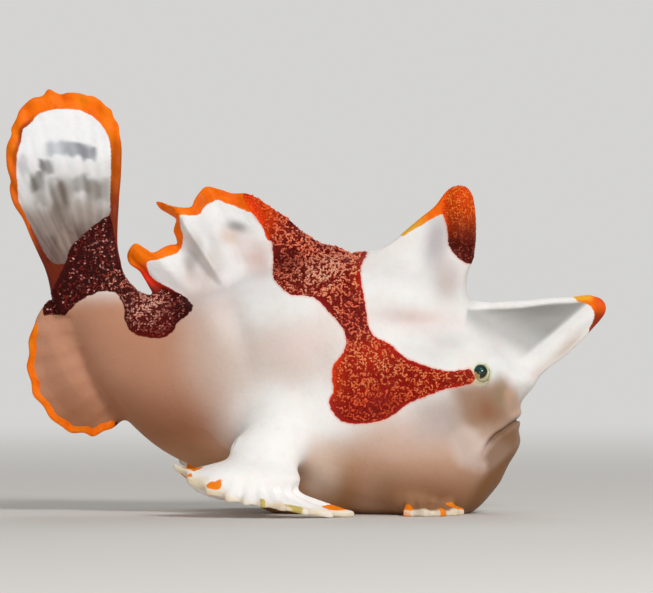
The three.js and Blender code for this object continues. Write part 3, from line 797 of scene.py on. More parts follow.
def mesh_object(name, verts_mm, faces, smooth=True, uv=None):
    me = bpy.data.meshes.new(name)
    faces = np.asarray(faces)
    co = (np.asarray(verts_mm, dtype=np.float64) + [SHIFT_X, 0, 0]) * 0.001
    me.vertices.add(len(co))
    me.vertices.foreach_set("co", co.astype(np.float32).ravel())
    n, k = faces.shape
    me.loops.add(n * k)
    me.loops.foreach_set("vertex_index", faces.astype(np.int32).ravel())
    me.polygons.add(n)
    me.polygons.foreach_set("loop_start", np.arange(0, n * k, k, dtype=np.int32))
    me.polygons.foreach_set("loop_total", np.full(n, k, dtype=np.int32))
    me.update(calc_edges=True)
    if smooth:
        me.polygons.foreach_set("use_smooth", np.ones(n, dtype=bool))
    if uv is not None:
        me.uv_layers.new(name="OFBake").data.foreach_set("uv", uv.astype(np.float32).ravel())
    me.validate()
    ob = bpy.data.objects.new(name, me)
    bpy.context.scene.collection.objects.link(ob)
    return ob


skin = mesh_object("skin", verts, quads, uv=unwrap(verts, quads, chart_group(verts, quads)))

# ------------------------------------------------------------------- camera
cam_data = bpy.data.cameras.new("camera")
cam = bpy.data.objects.new("camera", cam_data)
bpy.context.scene.collection.objects.link(cam)
cam.location = ((VIEW_X + SHIFT_X) * 0.001, -VIEW_D * 0.001, VIEW_Z * 0.001)
cam.rotation_euler = (math.pi / 2, 0, 0)
cam_data.sensor_width = 36.0
cam_data.lens = 36.0 * VIEW_D / 65.3
cam_data.clip_start = 0.05
cam_data.clip_end = 20
bpy.context.scene.camera = cam

# ------------------------------------------------------------ floor and light
me = bpy.data.meshes.new("floor")
R = 3.0
ring = [(R * math.cos(i * math.pi / 24), R * math.sin(i * math.pi / 24), 0.0) for i in range(48)]
me.from_pydata(ring, [], [list(range(48))])
floor = bpy.data.objects.new("floor", me)
bpy.context.scene.collection.objects.link(floor)
mat = bpy.data.materials.new("floor")
mat.use_nodes = True
b = mat.node_tree.nodes["Principled BSDF"]
b.inputs["Base Color"].default_value = (0.74, 0.725, 0.70, 1)
b.inputs["Roughness"].default_value = 0.8
# the floor turns into the tone of the wall some way off, so that no line shows
ft = mat.node_tree
glow = ft.nodes.new("ShaderNodeEmission")
glow.inputs[0].default_value = (0.66, 0.655, 0.64, 1)
fade = ft.nodes.new("ShaderNodeMapRange")
fade.interpolation_type = "SMOOTHSTEP"
fade.inputs[1].default_value, fade.inputs[2].default_value = 0.09, 0.45
spread = ft.nodes.new("ShaderNodeVectorMath")
spread.operation = "LENGTH"
where = ft.nodes.new("ShaderNodeTexCoord")
both = ft.nodes.new("ShaderNodeMixShader")
ft.links.new(where.outputs["Object"], spread.inputs[0])
ft.links.new(spread.outputs["Value"], fade.inputs[0])
ft.links.new(fade.outputs[0], both.inputs[0])
ft.links.new(b.outputs[0], both.inputs[1])
ft.links.new(glow.outputs[0], both.inputs[2])
ft.links.new(both.outputs[0], ft.nodes["Material Output"].inputs[0])
me.materials.append(mat)

world = bpy.data.worlds.new("world")
bpy.context.scene.world = world
world.use_nodes = True
wt = world.node_tree
sky = wt.nodes["Background"]
sky.inputs[1].default_value = 1.0
coord = wt.nodes.new("ShaderNodeTexCoord")
split = wt.nodes.new("ShaderNodeSeparateXYZ")
band = wt.nodes.new("ShaderNodeMapRange")
tint = wt.nodes.new("ShaderNodeMix")
tint.data_type = "RGBA"
band.interpolation_type = "SMOOTHSTEP"
# a paler band of studio wall near the horizon, the same all round
for i, v in ((1, 0.08), (2, 0.45)):
    band.inputs[i].default_value = v
tint.inputs[6].default_value = (0.66, 0.655, 0.64, 1)
tint.inputs[7].default_value = (0.30, 0.295, 0.285, 1)
wt.links.new(coord.outputs["Generated"], split.inputs[0])
wt.links.new(split.outputs[2], band.inputs[0])
wt.links.new(band.outputs[0], tint.inputs[0])
wt.links.new(tint.outputs[2], sky.inputs[0])


def area(name, at, aim, size, watts, colour=(1, 1, 1)):
    d = bpy.data.lights.new(name, "AREA")
    d.shape = "DISK"
    d.size = size
    d.energy = watts
    d.color = colour
    o = bpy.data.objects.new(name, d)
    o.location = at
    o.rotation_euler = (Vector(aim) - Vector(at)).to_track_quat("-Z", "Y").to_euler()
    bpy.context.scene.collection.objects.link(o)


area("key", (0.20, -0.36, 0.30), (0, 0, 0.018), 0.13, 1.24, (1, 0.985, 0.965))
area("front", (-0.06, -0.50, 0.10), (-0.003, 0, 0.016), 0.22, 0.26, (1, 0.98, 0.96))
area("back", (0.05, 0.40, 0.35), (0, 0, 0.02), 0.25, 0.35, (1, 1, 1))
bpy.context.scene.view_settings.view_transform = "Standard"
bpy.context.scene.cycles.use_denoising = True


# ------------------------------------------------------------------ markings
def srgb(r, g, b):
    c = np.array([r, g, b], float) / 255.0
    return np.where(c <= 0.04045, c / 12.92, ((c + 0.055) / 1.055) ** 2.4)


# red patches with granules: saddle, tail stalk, knob of the third spine
SADDLE = [(367, 252), (361, 266), (361, 280), (365, 303), (369, 327), (373, 335), (389, 344), (406, 358),
          (426, 366), (446, 371), (461, 370.5), (469, 368.5), (473, 373), (475, 378), (472, 383), (459, 386.5),
          (446, 389), (430, 395), (406, 405), (396, 413), (380, 421), (363, 423.5), (347, 423), (335, 415),
          (329, 401), (333, 391), (332, 380), (333, 366), (341, 356), (346, 344), (343, 329), (326, 309),
          (316, 299), (304, 296), (290, 294), (280, 286), (273.5, 278), (273, 262), (272.5, 246), (266, 232),
          (257, 219), (249, 207), (243, 196), (246, 186), (262, 186), (290, 205), (330, 236), (352, 246)]
STALK = [(109, 216), (113.5, 232), (117, 250), (119, 262), (128, 275), (139, 286), (149, 292), (157, 291), (163, 288),
         (170, 290), (185, 297), (193, 307), (186, 316), (177, 323), (173, 331), (165, 337), (152, 338), (133, 333),
         (125, 321), (124, 307), (118, 295), (111, 291.5), (100, 292), (89, 296), (79, 302), (71, 309), (64, 316),
         (56, 319), (45, 318), (44, 302), (53, 288), (60, 274), (66, 262), (70, 248), (81, 237), (92, 227)]
KNOB = [(444, 217), (441, 208), (443, 196), (450, 184), (462, 180), (474, 186), (482, 210), (484, 240), (480, 262),
        (472, 264), (466, 263), (456, 256), (449, 245), (447, 229)]
# white inner fields of the two big fins; what lies outside them is orange
TAIL_WHITE = [(17.6, 188), (16.4, 168), (17.2, 153), (21.5, 140), (23, 130), (27, 126), (32, 122), (36, 116.5),
              (42, 112.5), (51, 110), (61, 109), (79, 110), (86, 113), (92, 116), (99, 122), (104, 129),
              (109, 140), (111, 162), (110.5, 180), (110, 200), (109, 216), (96, 224), (92, 229), (81, 238),
              (71, 250), (68, 262), (60, 264), (54, 263), (46, 255), (37, 238), (30, 224), (24, 212), (19, 202)]
DORSAL_BAND = [(266, 196), (247, 184), (232, 184), (219, 180), (204, 178), (188, 195), (186, 201), (171, 205),
               (150, 194), (148, 203), (166, 224), (167, 236), (160, 241), (153, 245), (146, 240), (134, 235),
               (118, 250), (120, 268), (134, 279), (141, 290), (150, 298), (163, 306), (176, 314), (192, 308),
               (187, 299), (181.6, 294.7), (167, 286.5), (153, 278.4), (147.6, 270), (147.2, 262), (159, 259.5),
               (168, 256), (177.5, 252.5), (182, 245), (182.8, 235.5), (181, 229.4), (180, 221), (179.8, 215),
               (189, 215.5), (200, 214), (203, 209), (205, 206.5), (211, 202.5), (218, 199.5), (224, 202.5),
               (232.6, 205.3), (243, 209.5), (253, 214), (262, 226), (268, 240), (276, 240), (276, 215)]
SPINE2_TIP = [(568, 289), (590, 286), (614, 288), (616, 335), (589, 336), (590, 327), (593, 321), (594.5, 314.5),
              (592, 308), (586, 303.5), (578, 301.2)]
SPINE3_STRIP = [(402, 236), (398, 228), (425, 206), (444, 186), (450, 190), (446, 214), (441, 214.5), (434, 217.5),
                (427, 221.5), (420, 226), (412, 230.5)]

saddle_m = outline_map(spline(drawn(SADDLE), True, 5))
stalk_m = outline_map(spline(drawn(STALK), True, 5))
knob_m = outline_map(spline(drawn(KNOB), True, 5))
tail_white_m = outline_map(spline(drawn(TAIL_WHITE), True, 4))
dorsal_band_m = outline_map(spline(drawn(DORSAL_BAND), True, 3))
tip2_m = outline_map(spline(drawn(SPINE2_TIP), True, 4))
strip3_m = outline_map(spline(drawn(SPINE3_STRIP), True, 4))
anal_rim = path_map(spline(drawn(ANAL_EDGE), n=6))[0]
mark_maps = np.stack([saddle_m, stalk_m, knob_m, tail_white_m, dorsal_band_m, tip2_m, strip3_m,
                      anal_d, tail_d, dorsal_d], -1).astype(F)

WHITE = srgb(240, 240, 239)


# soft fields of the face: the hollow (painted shade), the front of the lip, the cheek lobe (painted light)
HOLLOW_SHADE = [(455, 388), (470, 386), (485, 384), (500, 381), (507, 384), (509, 392), (506, 402), (508, 412), (511, 420),
          (500, 427), (488, 429), (477, 430), (466, 424), (461, 412), (459, 402)]
LIP = [(507, 388), (514, 390), (521, 400), (522, 408), (516, 415), (509, 414), (507, 404), (505, 394)]
LIT_LOBE = [(455, 432), (466, 428), (476, 431), (483, 438), (489, 443), (485, 449), (481, 459), (484, 467), (474, 468),
        (462, 464), (455, 455), (452, 443)]
face_maps = np.stack([outline_map(spline(drawn(p), True, 4)) for p in (HOLLOW_SHADE, LIP, LIT_LOBE)], -1).astype(F)


def shade(c, colour, weight):
    w = np.clip(weight, 0, 1)[:, None]
    return c * (1 - w) + np.asarray(colour)[None] * w


def at_px(px, py):
    return (px - 305.0) / 10.0, (513.0 - py) / 10.0


def spot(x, z, px, py, rx, ry, tilt=0.0, power=2.0):
    cx, cz = at_px(px, py)
    c, s = math.cos(tilt * D2R), math.sin(tilt * D2R)
    u = ((x - cx) * c + (z - cz) * s) / (rx / 10)
    w = (-(x - cx) * s + (z - cz) * c) / (ry / 10)
    return np.exp(-(np.abs(u) ** power + np.abs(w) ** power))


def paint(v):
    """Colours and signed distances of the markings at the skin's points (mm), with painted light and shade in the
    ground colour.
    """
    x, y, z = v[:, 0].astype(F), v[:, 1].astype(F), v[:, 2].astype(F)
    ay = np.abs(y)
    k = VIEW_D / (VIEW_D - ay)
    xs, zs = VIEW_X + (x - VIEW_X) * k, VIEW_Z + (z - VIEW_Z) * k
    body = masses(x, y, z)
    limb = ramp(body, 0.2, 1.6) * (ay > 5) * ramp(z + 0.4 * noise(x, y, z, 1.6, 14), 11.5, 7.6) * (x > -16) * (x < 7)
    n_big = noise(x, y, z, 3.5, 11)
    n_mid = noise(x, y, z, 1.3, 12)
    n_fine = noise(x, y, z, 0.55, 13)
    wob = 0.10 * n_mid + 0.05 * n_fine
    g = look(mark_maps, xs, zs)
    saddle, stalk, knob, tail_w, band, tip2, strip3, anal, tail, dorsal = (g[:, i] for i in range(10))
    on_tail = (xs < -17.9) & (tail < 0.6) & ((zs > 22.4) | ((xs < -23.8) & (zs > 21.7)))
    on_anal = (anal < 0.6) & (body > -0.3)

    # ---- ground colour of the white skin, warm brown where it lies low or to the rear: partly the skin's own warm tint, mostly painted shade of the rear and the under side
    c = np.tile(WHITE, (len(x), 1))
    c = shade(c, srgb(236, 226, 222), 0.45 * ramp(n_big + 0.4 * n_mid, -0.1, 0.9))
    lean = -(xs + 0.25 * (zs - 13))
    rear = ramp(lean, 6.0, 13.5) * ramp(zs, 23.5, 20.0)
    c = shade(c, srgb(216, 192, 178), 0.75 * ramp(lean + 0.5 * n_big, 3.0, 9.5) * ramp(zs, 24.5, 18.0))
    c = shade(c, srgb(192, 136, 106), 0.95 * rear)
    c = shade(c, srgb(156, 102, 70), 0.88 * rear * ramp(zs, 15, 8))
    low = ramp(zs + 0.4 * n_big, 8.6, 4.4)
    c = shade(c, srgb(196, 146, 106), 0.92 * low)
    c = shade(c, srgb(158, 104, 50), 0.92 * ramp(zs + 0.3 * n_big, 6.0, 2.0))
    c = shade(c, srgb(200, 164, 144), 0.80 * ramp(zs, 12.5, 7.5) * ramp(xs, 3.0, 8.0))
    c = shade(c, srgb(134, 88, 44), 0.72 * ramp(zs + 0.3 * n_big, 6.2, 1.6) * ramp(xs, 5.0, 8.5))
    # painted shade on the belly and flank, kept lighter behind the limb
    c = shade(c, srgb(182, 140, 114), 0.45 * spot(xs, zs, 352, 452, 26, 22, 0, 2.4))
    c = shade(c, srgb(236, 214, 196), 0.80 * spot(xs, zs, 322, 472, 20, 26, 0, 2.6))
    c = shade(c, srgb(200, 174, 156), 0.58 * spot(xs, zs, 285, 354, 64, 32, 6, 2.4))
    c = shade(c, srgb(196, 172, 158), 0.40 * spot(xs, zs, 215, 368, 40, 36, 0, 2.4))
    # face: painted shade in the brown hollow below the eye, on the cheek and on the brown jaw; painted light on the
    # pale cheek lobe; pale lip
    fx, fz = xs + 0.16 * n_mid + 0.10 * n_fine, zs + 0.16 * n_mid - 0.10 * n_fine
    fm = look(face_maps, fx, fz)
    c = shade(c, srgb(178, 146, 124), 0.75 * spot(fx, fz, 487, 405, 40, 30, 0, 2.8) * ramp(zs, 13.8, 12.4))
    c = shade(c, srgb(190, 174, 168), 0.85 * spot(fx, fz, 438, 420, 26, 22, 0, 2.6))
    c = shade(c, srgb(160, 126, 102), 0.88 * ramp(-fm[:, 0], -1.30, 1.00))
    c = shade(c, srgb(150, 102, 72), 0.85 * spot(fx, fz, 488, 410, 13, 11, 0, 2.2))
    c = shade(c, srgb(152, 130, 102), 0.75 * spot(fx, fz, 501, 394, 7, 15, -6, 2.4))
    jaw = look(jaw_d, xs, zs)
    low_jaw_shade = ramp(((xs - 17.6) * 29 - (zs - 3.5) * 34) / 44.7 + 0.12 * n_mid, -0.35, 0.45)
    # painted shade down the jaw below the cleft
    c = shade(c, srgb(156, 126, 106), 0.92 * ramp(-jaw + 0.25 * n_mid + 0.10 * n_fine, -0.25, 0.35) * ramp(zs, 0.0, 1.5))
    c = shade(c, srgb(132, 88, 48), 0.92 * low_jaw_shade * ramp(-jaw, -0.6, 0.6))
    c = shade(c, srgb(132, 92, 58), 0.85 * spot(fx, fz, 511, 437, 13, 11))
    c = shade(c, srgb(192, 154, 128), 0.80 * ramp(-fm[:, 1], -0.45, 0.50))
    # painted light on the cheek lobe
    c = shade(c, srgb(214, 196, 186), 0.78 * ramp(-fm[:, 2], -0.75, 0.55))
    # painted shade: soft pink-grey hollows of the nape and flank
    c = shade(c, srgb(228, 206, 202), 0.75 * spot(xs, zs, 415, 318, 45, 12, -4))
    c = shade(c, srgb(232, 212, 208), 0.60 * spot(xs, zs, 300, 345, 40, 22, 10))
    c = shade(c, srgb(222, 196, 190), 0.80 * spot(xs, zs, 257, 262, 17, 20, 0))
    c = shade(c, srgb(222, 200, 196), 0.55 * spot(xs, zs, 225, 300, 16, 26, 10))
    c = shade(c, srgb(214, 212, 210), 0.60 * spot(xs, zs, 445, 345, 16, 14))
    c = shade(c, srgb(254, 253, 252), 0.96 * limb)
    c = shade(c, srgb(250, 249, 248), 0.75 * spot(xs, zs, 268, 424, 40, 30, -20, 2.4) * (ay > 5))

    # ---- tail fin: white with grey spots, greyer between the rays low down, and darker towards its base, partly pigment and partly painted shade
    ray = (np.arctan2(xs - TAIL_HUB[0], zs - TAIL_HUB[1]) / D2R + 31.5) / 36.5 * 9
    ray = ray + 0.22 * n_big + 0.10 * n_mid
    web = (1 - ridge(ray, 1.0)) * (0.65 + 0.35 * np.clip(n_big * 1.5 + 0.5, 0, 1))
    t = on_tail.astype(F) * ramp(body, -0.6, 0.4)
    c = shade(c, srgb(246, 248, 251), t)
    c = shade(c, srgb(218, 216, 214), t * 0.75 * ramp(zs + 0.2 * n_mid, 36.5, 33.5))
    c = shade(c, srgb(146, 128, 116), t * lerp(0.62, 0.97, web) * ramp(zs + 0.3 * n_mid, 32.8, 29.2))
    c = shade(c, srgb(88, 54, 34), t * lerp(0.66, 1.0, web) * ramp(zs, 31.6, 27.2))
    c = shade(c, srgb(96, 60, 42), t * 0.45 * ramp(zs, 28.5, 26.0) * (xs > -25.5))
    c = shade(c, srgb(72, 34, 18), t * 0.85 * spot(xs + 0.3 * n_mid, zs, 72, 243, 17, 15, 40, 2.6))
    c = shade(c, srgb(204, 204, 208), t * 0.35 * web ** 2 * lerp(1.0, 0.3, ramp(zs, 33, 38)))
    for px, py, rx, ry, tilt, col, wt in (
            (57, 148, 13, 7, 0, (180, 184, 192), .85), (77, 149, 13, 8, -4, (138, 142, 150), .98),
            (89, 152, 8, 8, 0, (130, 132, 142), .92), (46.5, 166.5, 6.5, 9, 18, (104, 100, 96), 1.0),
            (37, 182, 8.5, 10, 12, (114, 108, 102), 1.0), (61, 195, 12, 18, 8, (112, 98, 88), 1.0),
            (60, 214, 10, 10, 4, (124, 110, 98), .95), (82, 184, 13, 9, -3, (138, 134, 130), .95),
            (97, 190, 14, 13, 0, (124, 116, 108), .95), (42, 198, 7, 9, 10, (156, 150, 146), .85),
            (24, 166, 5, 10, 10, (190, 190, 194), .75), (47, 226, 8, 10, 12, (152, 138, 130), .8),
            (84, 210, 12, 10, 0, (160, 146, 136), .8), (66, 242, 11, 14, 4, (164, 146, 134), .8)):
        ragged = spot(xs + 0.35 * n_mid, zs + 0.35 * n_fine, px, py, rx * 0.95, ry * 0.95, tilt, 4.6)
        c = shade(c, srgb(*col), t * wt * ragged * (0.72 + 0.28 * web))
    # reddish flesh along the rear edge of the stalk
    c = shade(c, srgb(128, 58, 26), 0.9 * (tail < 0.8) * ramp(tail_w, 0.0, 0.5) * ramp(zs, 27.5, 25.0) * (xs < -19) * np.where(xs < -23.8, ramp(zs, 20.9, 21.8), zs > 22.4))

    # ---- soft dorsal fin
    d = ramp(-dorsal, -0.3, 0.3) * ramp(zs, 20.5, 23.0) * (xs < 0)
    c = shade(c, srgb(240, 240, 241), 0.7 * d)
    # grey spots on the fin, and painted shade in its pleats and hollows
    for px, py, rx, ry, tilt, col, wt in (
            (237, 227, 11, 5.5, -18, (150, 148, 148), .95), (191, 265, 7, 12, 8, (160, 152, 146), .8),
            (230, 237, 12, 8, -14, (214, 186, 170), .7), (214, 262, 10, 14, 0, (216, 206, 200), .6),
            (197, 247, 7, 16, 10, (206, 200, 196), .8), (213, 243, 6, 20, 22, (214, 208, 206), .6),
            (258, 258, 13, 16, 0, (214, 186, 180), .8), (205, 226, 9, 9, 0, (224, 224, 226), .7),
            (243, 246, 12, 14, 0, (222, 206, 202), .6)):
        c = shade(c, srgb(*col), wt * spot(xs + 0.2 * n_mid, zs, px, py, rx, ry, tilt, 2.5))

    # painted shade at the root of the fin
    c = shade(c, srgb(212, 192, 186), 0.60 * spot(xs, zs, 198, 286, 24, 20, 0, 2.4))
    # ---- second spine: white rod; grey membrane, partly its own see-through grey and partly painted shade of its hollow, with painted shade under the rim and below the rod
    rod_c = ramp(look(rod2_off.astype(F), xs, zs), 0.80, 1.40)
    rim_c = ramp(look(spine2_d, xs, zs), -0.30, -0.62)
    memb = rod_c * rim_c * ramp(xs, 13.6, 15.0) * ramp(zs, 13.0, 14.4) * ramp(zs, 23.6, 22.0) * ramp(body, -1.5, 0.0) * lerp(1.0, 0.45, ramp(ay, 1.2, 4.0))
    up_right = ((xs - 16.5) * 34 + (zs - 19.1) * 60) / 69
    c = shade(c, srgb(188, 188, 186), 0.95 * memb * ramp(up_right, -1.2, 0.9))
    c = shade(c, srgb(164, 163, 161), 0.95 * memb * ramp(up_right, 1.0, 3.4))
    c = shade(c, srgb(140, 136, 132), 0.70 * memb * spot(xs, zs, 545, 311, 26, 6, 4, 2.4))
    # painted shade below the rod
    c = shade(c, srgb(205, 180, 160), 0.55 * spot(xs, zs, 566, 349, 22, 5, 45) + 0.3 * spot(xs, zs, 540, 371, 14, 5, 35))

    # painted shade down the third spine's post and on the crest below it
    c = shade(c, srgb(212, 206, 202), 0.75 * spot(xs, zs, 470, 286, 6, 20, 4) * (ay < 3.5))
    c = shade(c, srgb(178, 170, 174), 0.80 * spot(xs, zs, 437, 242, 13, 30, -8, 2.4))
    c = shade(c, srgb(190, 174, 170), 0.75 * spot(xs, zs, 447, 280, 15, 22, 0, 2.4) * (ay < 4.5))
    # ---- lids: pale yellow-green ring
    dx, dz = x - EYE_XZ[0], z - EYE_XZ[1]
    er = np.hypot(dx, dz) + 0 * dx
    on_eye = (ay > 4.2) * ramp(er, 1.30, 1.02)
    c = shade(c, srgb(226, 230, 198), 0.75 * on_eye)
    c = shade(c, srgb(182, 170, 136), 0.80 * on_eye * ramp(-dz, 0.1, 0.9))
    # pore and mouth cleft: painted shade inside them
    pore = np.sqrt((x + 6.6) ** 2 + (ay - 9.3) ** 2 + (z - 6.9) ** 2)
    c = shade(c, srgb(120, 84, 70), 0.8 * ramp(pore, 0.55, 0.2))
    c = shade(c, srgb(84, 56, 34), 0.55 * bell(jaw, 0.0, 0.15) * ramp(z, 6.4, 7.4) * (xs > 16) * ramp(zs, 11.2, 10.0))

    # ---- red patches
    red = np.minimum(np.minimum(saddle, stalk), knob)
    red = np.where(on_anal & (xs < -24) & (zs < 19.7), 4.0, red)
    rc = np.tile(srgb(130, 8, 0), (len(x), 1))
    rc = shade(rc, srgb(238, 66, 4), spot(xs + 0.2 * n_mid, zs, 260, 206, 20, 30, 0, 3.0))
    rc = shade(rc, srgb(86, 4, 0), 0.9 * spot(xs + 0.3 * n_mid, zs, 286, 262, 24, 19, 0, 2.6))
    rc = shade(rc, srgb(92, 6, 0), 0.8 * spot(xs + 0.2 * n_mid, zs, 318, 240, 40, 8, -35, 2.6))
    rc = shade(rc, srgb(172, 32, 4), 0.9 * spot(xs, zs, 358, 280, 9, 26, 0, 2.6))
    rc = shade(rc, srgb(120, 6, 0), spot(xs, zs, 352, 320, 14, 30, 0, 2.6))
    rc = shade(rc, srgb(160, 12, 0), ramp(xs, 1.0, 4.0) * ramp(zs, 18.2, 16.6) * (xs < 18))
    rc = shade(rc, srgb(200, 36, 2), 0.80 * spot(xs, zs, 372, 355, 22, 14, 30, 2.6))
    rc = shade(rc, srgb(214, 60, 8), 0.80 * spot(xs, zs, 336, 374, 9, 24, 0, 2.6))
    rc = shade(rc, srgb(124, 10, 1), spot(xs, zs, 375, 412, 40, 10, 12) * 0.8)
    rc = shade(rc, srgb(150, 24, 3), spot(xs, zs, 462, 378, 16, 9, 0))
    # dark maroon stalk: partly the patch's own deeper red, partly painted shade
    stalk_w = (stalk < 1.0).astype(F)
    rc = shade(rc, srgb(58, 4, 2), stalk_w)
    rc = shade(rc, srgb(92, 9, 4), stalk_w * ramp(xs, -18.5, -16.5))
    rc = shade(rc, srgb(54, 3, 3), stalk_w * ramp(xs, -14.0, -12.5))
    on_knob = (xs > 12.5) & (zs > 23)
    rc = np.where(on_knob[:, None], lerp(srgb(78, 7, 2)[None], srgb(240, 78, 2)[None],
                                         ramp(zs + 0.25 * n_mid, 26.4, 32.2)[:, None]), rc)

    # ---- orange margins
    tail_o = np.where(on_tail & ((zs > 24.5) | ((xs < -24.2 + 0.15 * (zs - 19.9)) & (zs > 21.6))), -tail_w, 4.0)
    band_o = np.where((xs < 0) & (xs > -19) & (zs > 18.5), band, 4.0)
    anal_o = look(anal_rim.astype(F), xs, zs) - 0.75 - 0.15 * n_mid + 1.6 * ramp(body, 1.3, 0.3) + 0.9 * ramp(zs, 17.8, 19.9)
    anal_o = np.where(on_anal & (zs < 20), anal_o, 4.0)
    org = np.minimum(np.minimum(tail_o, band_o), np.minimum(tip2, strip3))
    org = np.minimum(org, anal_o)
    oc = np.tile(srgb(255, 120, 0), (len(x), 1))
    oc = shade(oc, srgb(236, 92, 2), 0.6 * ramp(n_mid + 0.5 * n_fine, 0.0, 0.8))
    oc = shade(oc, srgb(255, 142, 14), 0.6 * ramp(-n_mid + 0.4 * n_big, 0.1, 0.8))
    # tail: rust along the inner rear edge; brown to maroon down the front edge, partly pigment and partly painted
    # shade where the edge turns away from the light
    rust = on_tail * ramp(tail_w, 0.55, 0.15) * (xs < -25.5) * ramp(zs, 40.5, 38.5)
    oc = shade(oc, srgb(150, 52, 20), 0.9 * rust)
    oc = shade(oc, srgb(222, 102, 4), 0.8 * on_tail * (xs < -27.5) * ramp(zs, 38.5, 34.0))
    oc = shade(oc, srgb(176, 78, 2), 0.85 * on_tail * (xs > -21) * ramp(zs, 38.5, 35.5))
    oc = shade(oc, srgb(124, 44, 20), 0.92 * on_tail * (xs > -21) * ramp(zs, 34.5, 29.5))
    oc = shade(oc, srgb(96, 26, 18), 0.95 * on_tail * ramp(zs, 29.0, 25.5))
    # dorsal: orange to red to maroon down the rear base
    rear_edge = (xs > -19) & (xs < 0) & (zs < 26.5)
    oc = shade(oc, srgb(236, 44, 14), 0.95 * rear_edge * ramp(zs, 25.2, 23.8))
    oc = shade(oc, srgb(120, 24, 16), 0.95 * rear_edge * ramp(zs, 23.6, 22.2))
    oc = shade(oc, srgb(74, 14, 12), 0.9 * rear_edge * ramp(zs, 22.0, 21.0))
    oc = shade(oc, srgb(228, 60, 14), 0.9 * (xs > -7.5) * (xs < 0) * (zs > 24) * ramp(xs, -6.5, -4.5))
    oc = shade(oc, srgb(214, 92, 14), 0.8 * spot(xs, zs, 204, 202, 9, 10, 0))
    # spines: yellow edge, red-brown underside of the tip
    s2 = (xs > 25) & (zs > 15)
    oc = shade(oc, srgb(240, 178, 40), 0.9 * s2 * ramp(zs, 21.0, 21.5) * ramp(xs, 29.0, 28.2))
    oc = shade(oc, srgb(224, 78, 14), 0.8 * s2 * ramp(xs, 28.6, 29.3))
    oc = shade(oc, srgb(146, 46, 16), 0.92 * s2 * ramp(zs, 20.6, 19.4))
    s3 = (xs > 8) & (xs < 15) & (zs > 25)
    oc = shade(oc, srgb(222, 178, 58), 0.85 * s3 * ramp(xs, 12.8, 10.5))
    # ---- finger tips
    for h, who in ((HAND, 0), (PELVIC, 1)):
        fx, fr, fl, fs = fan_place(h, x, -ay)
        rayk = clamp(0.5 + 0.5 * np.cos(2 * math.pi * fx)) ** 1.3
        t = fr / (fl * (0.91 + 0.09 * rayk))
        here = (limb > 0.5) & (z < 6.5) if who == 0 else (z < 3.0) & (body > 0.25) & (x > 8) & (ay > 3)
        reach = np.where(t < 2, t, 2.0) + 0.05 * n_mid
        if who == 0:
            ends = np.maximum(bell(fx, 0.2, 0.55), bell(fx, 9.0, 0.5))
            dabs = np.maximum(bell(fx, 2.1, 0.45), np.maximum(bell(fx, 5.0, 0.25), bell(fx, 6.6, 0.5)))
            dabs = np.maximum(dabs, 1.5 * bell(fx, 0.55, 0.50))
        else:
            ends = np.maximum(bell(fx, 0.0, 0.5), bell(fx, 4.0, 0.5))
            dabs = bell(fx, 2.0, 0.3)
        # orange band before a pale tip on the outer fingers, a few small dabs between
        band_sd = np.hypot(np.maximum(np.abs(reach - 0.84) - 0.03, 0) * fl, 1.1 * (1 - ends)) - 0.52
        dab_sd = np.hypot((reach - 0.95) * fl, 1.2 * (1 - dabs)) - 0.38
        tip_sd = np.minimum(band_sd, dab_sd)
        tip_sd = np.where(here, tip_sd, 4.0)
        m = tip_sd < org
        olive = (fx > 3.2) & (fx < 7.6) & (who == 0)
        oc[m] = np.where(olive[m][:, None], srgb(204, 184, 104)[None], srgb(246, 132, 10)[None])
        c = shade(c, srgb(240, 230, 212), 0.80 * here * ramp(reach + 0.05 * n_fine, 0.88, 0.97))
        c = shade(c, srgb(222, 204, 172), 0.70 * here * ramp(reach, 0.97, 1.03))
        org = np.minimum(org, tip_sd)
    return c, red, rc, org, oc, 1 - stalk_w


co_now = verts
base_c, red_d, red_c, org_d, org_c, rim_w = paint(co_now)


def put(me, name, values, kind):
    a = me.attributes.new(name, kind, "POINT")
    if kind == "FLOAT":
        a.data.foreach_set("value", np.asarray(values, np.float32).ravel())
    else:
        v = np.ones((len(values), 4), np.float32)
        v[:, :3] = values
        a.data.foreach_set("color", v.ravel())


put(skin.data, "ground", base_c, "FLOAT_COLOR")
put(skin.data, "red", red_d, "FLOAT")
put(skin.data, "red_ground", red_c, "FLOAT_COLOR")
put(skin.data, "margin", org_d, "FLOAT")
put(skin.data, "margin_ground", org_c, "FLOAT_COLOR")
put(skin.data, "rim", rim_w, "FLOAT")


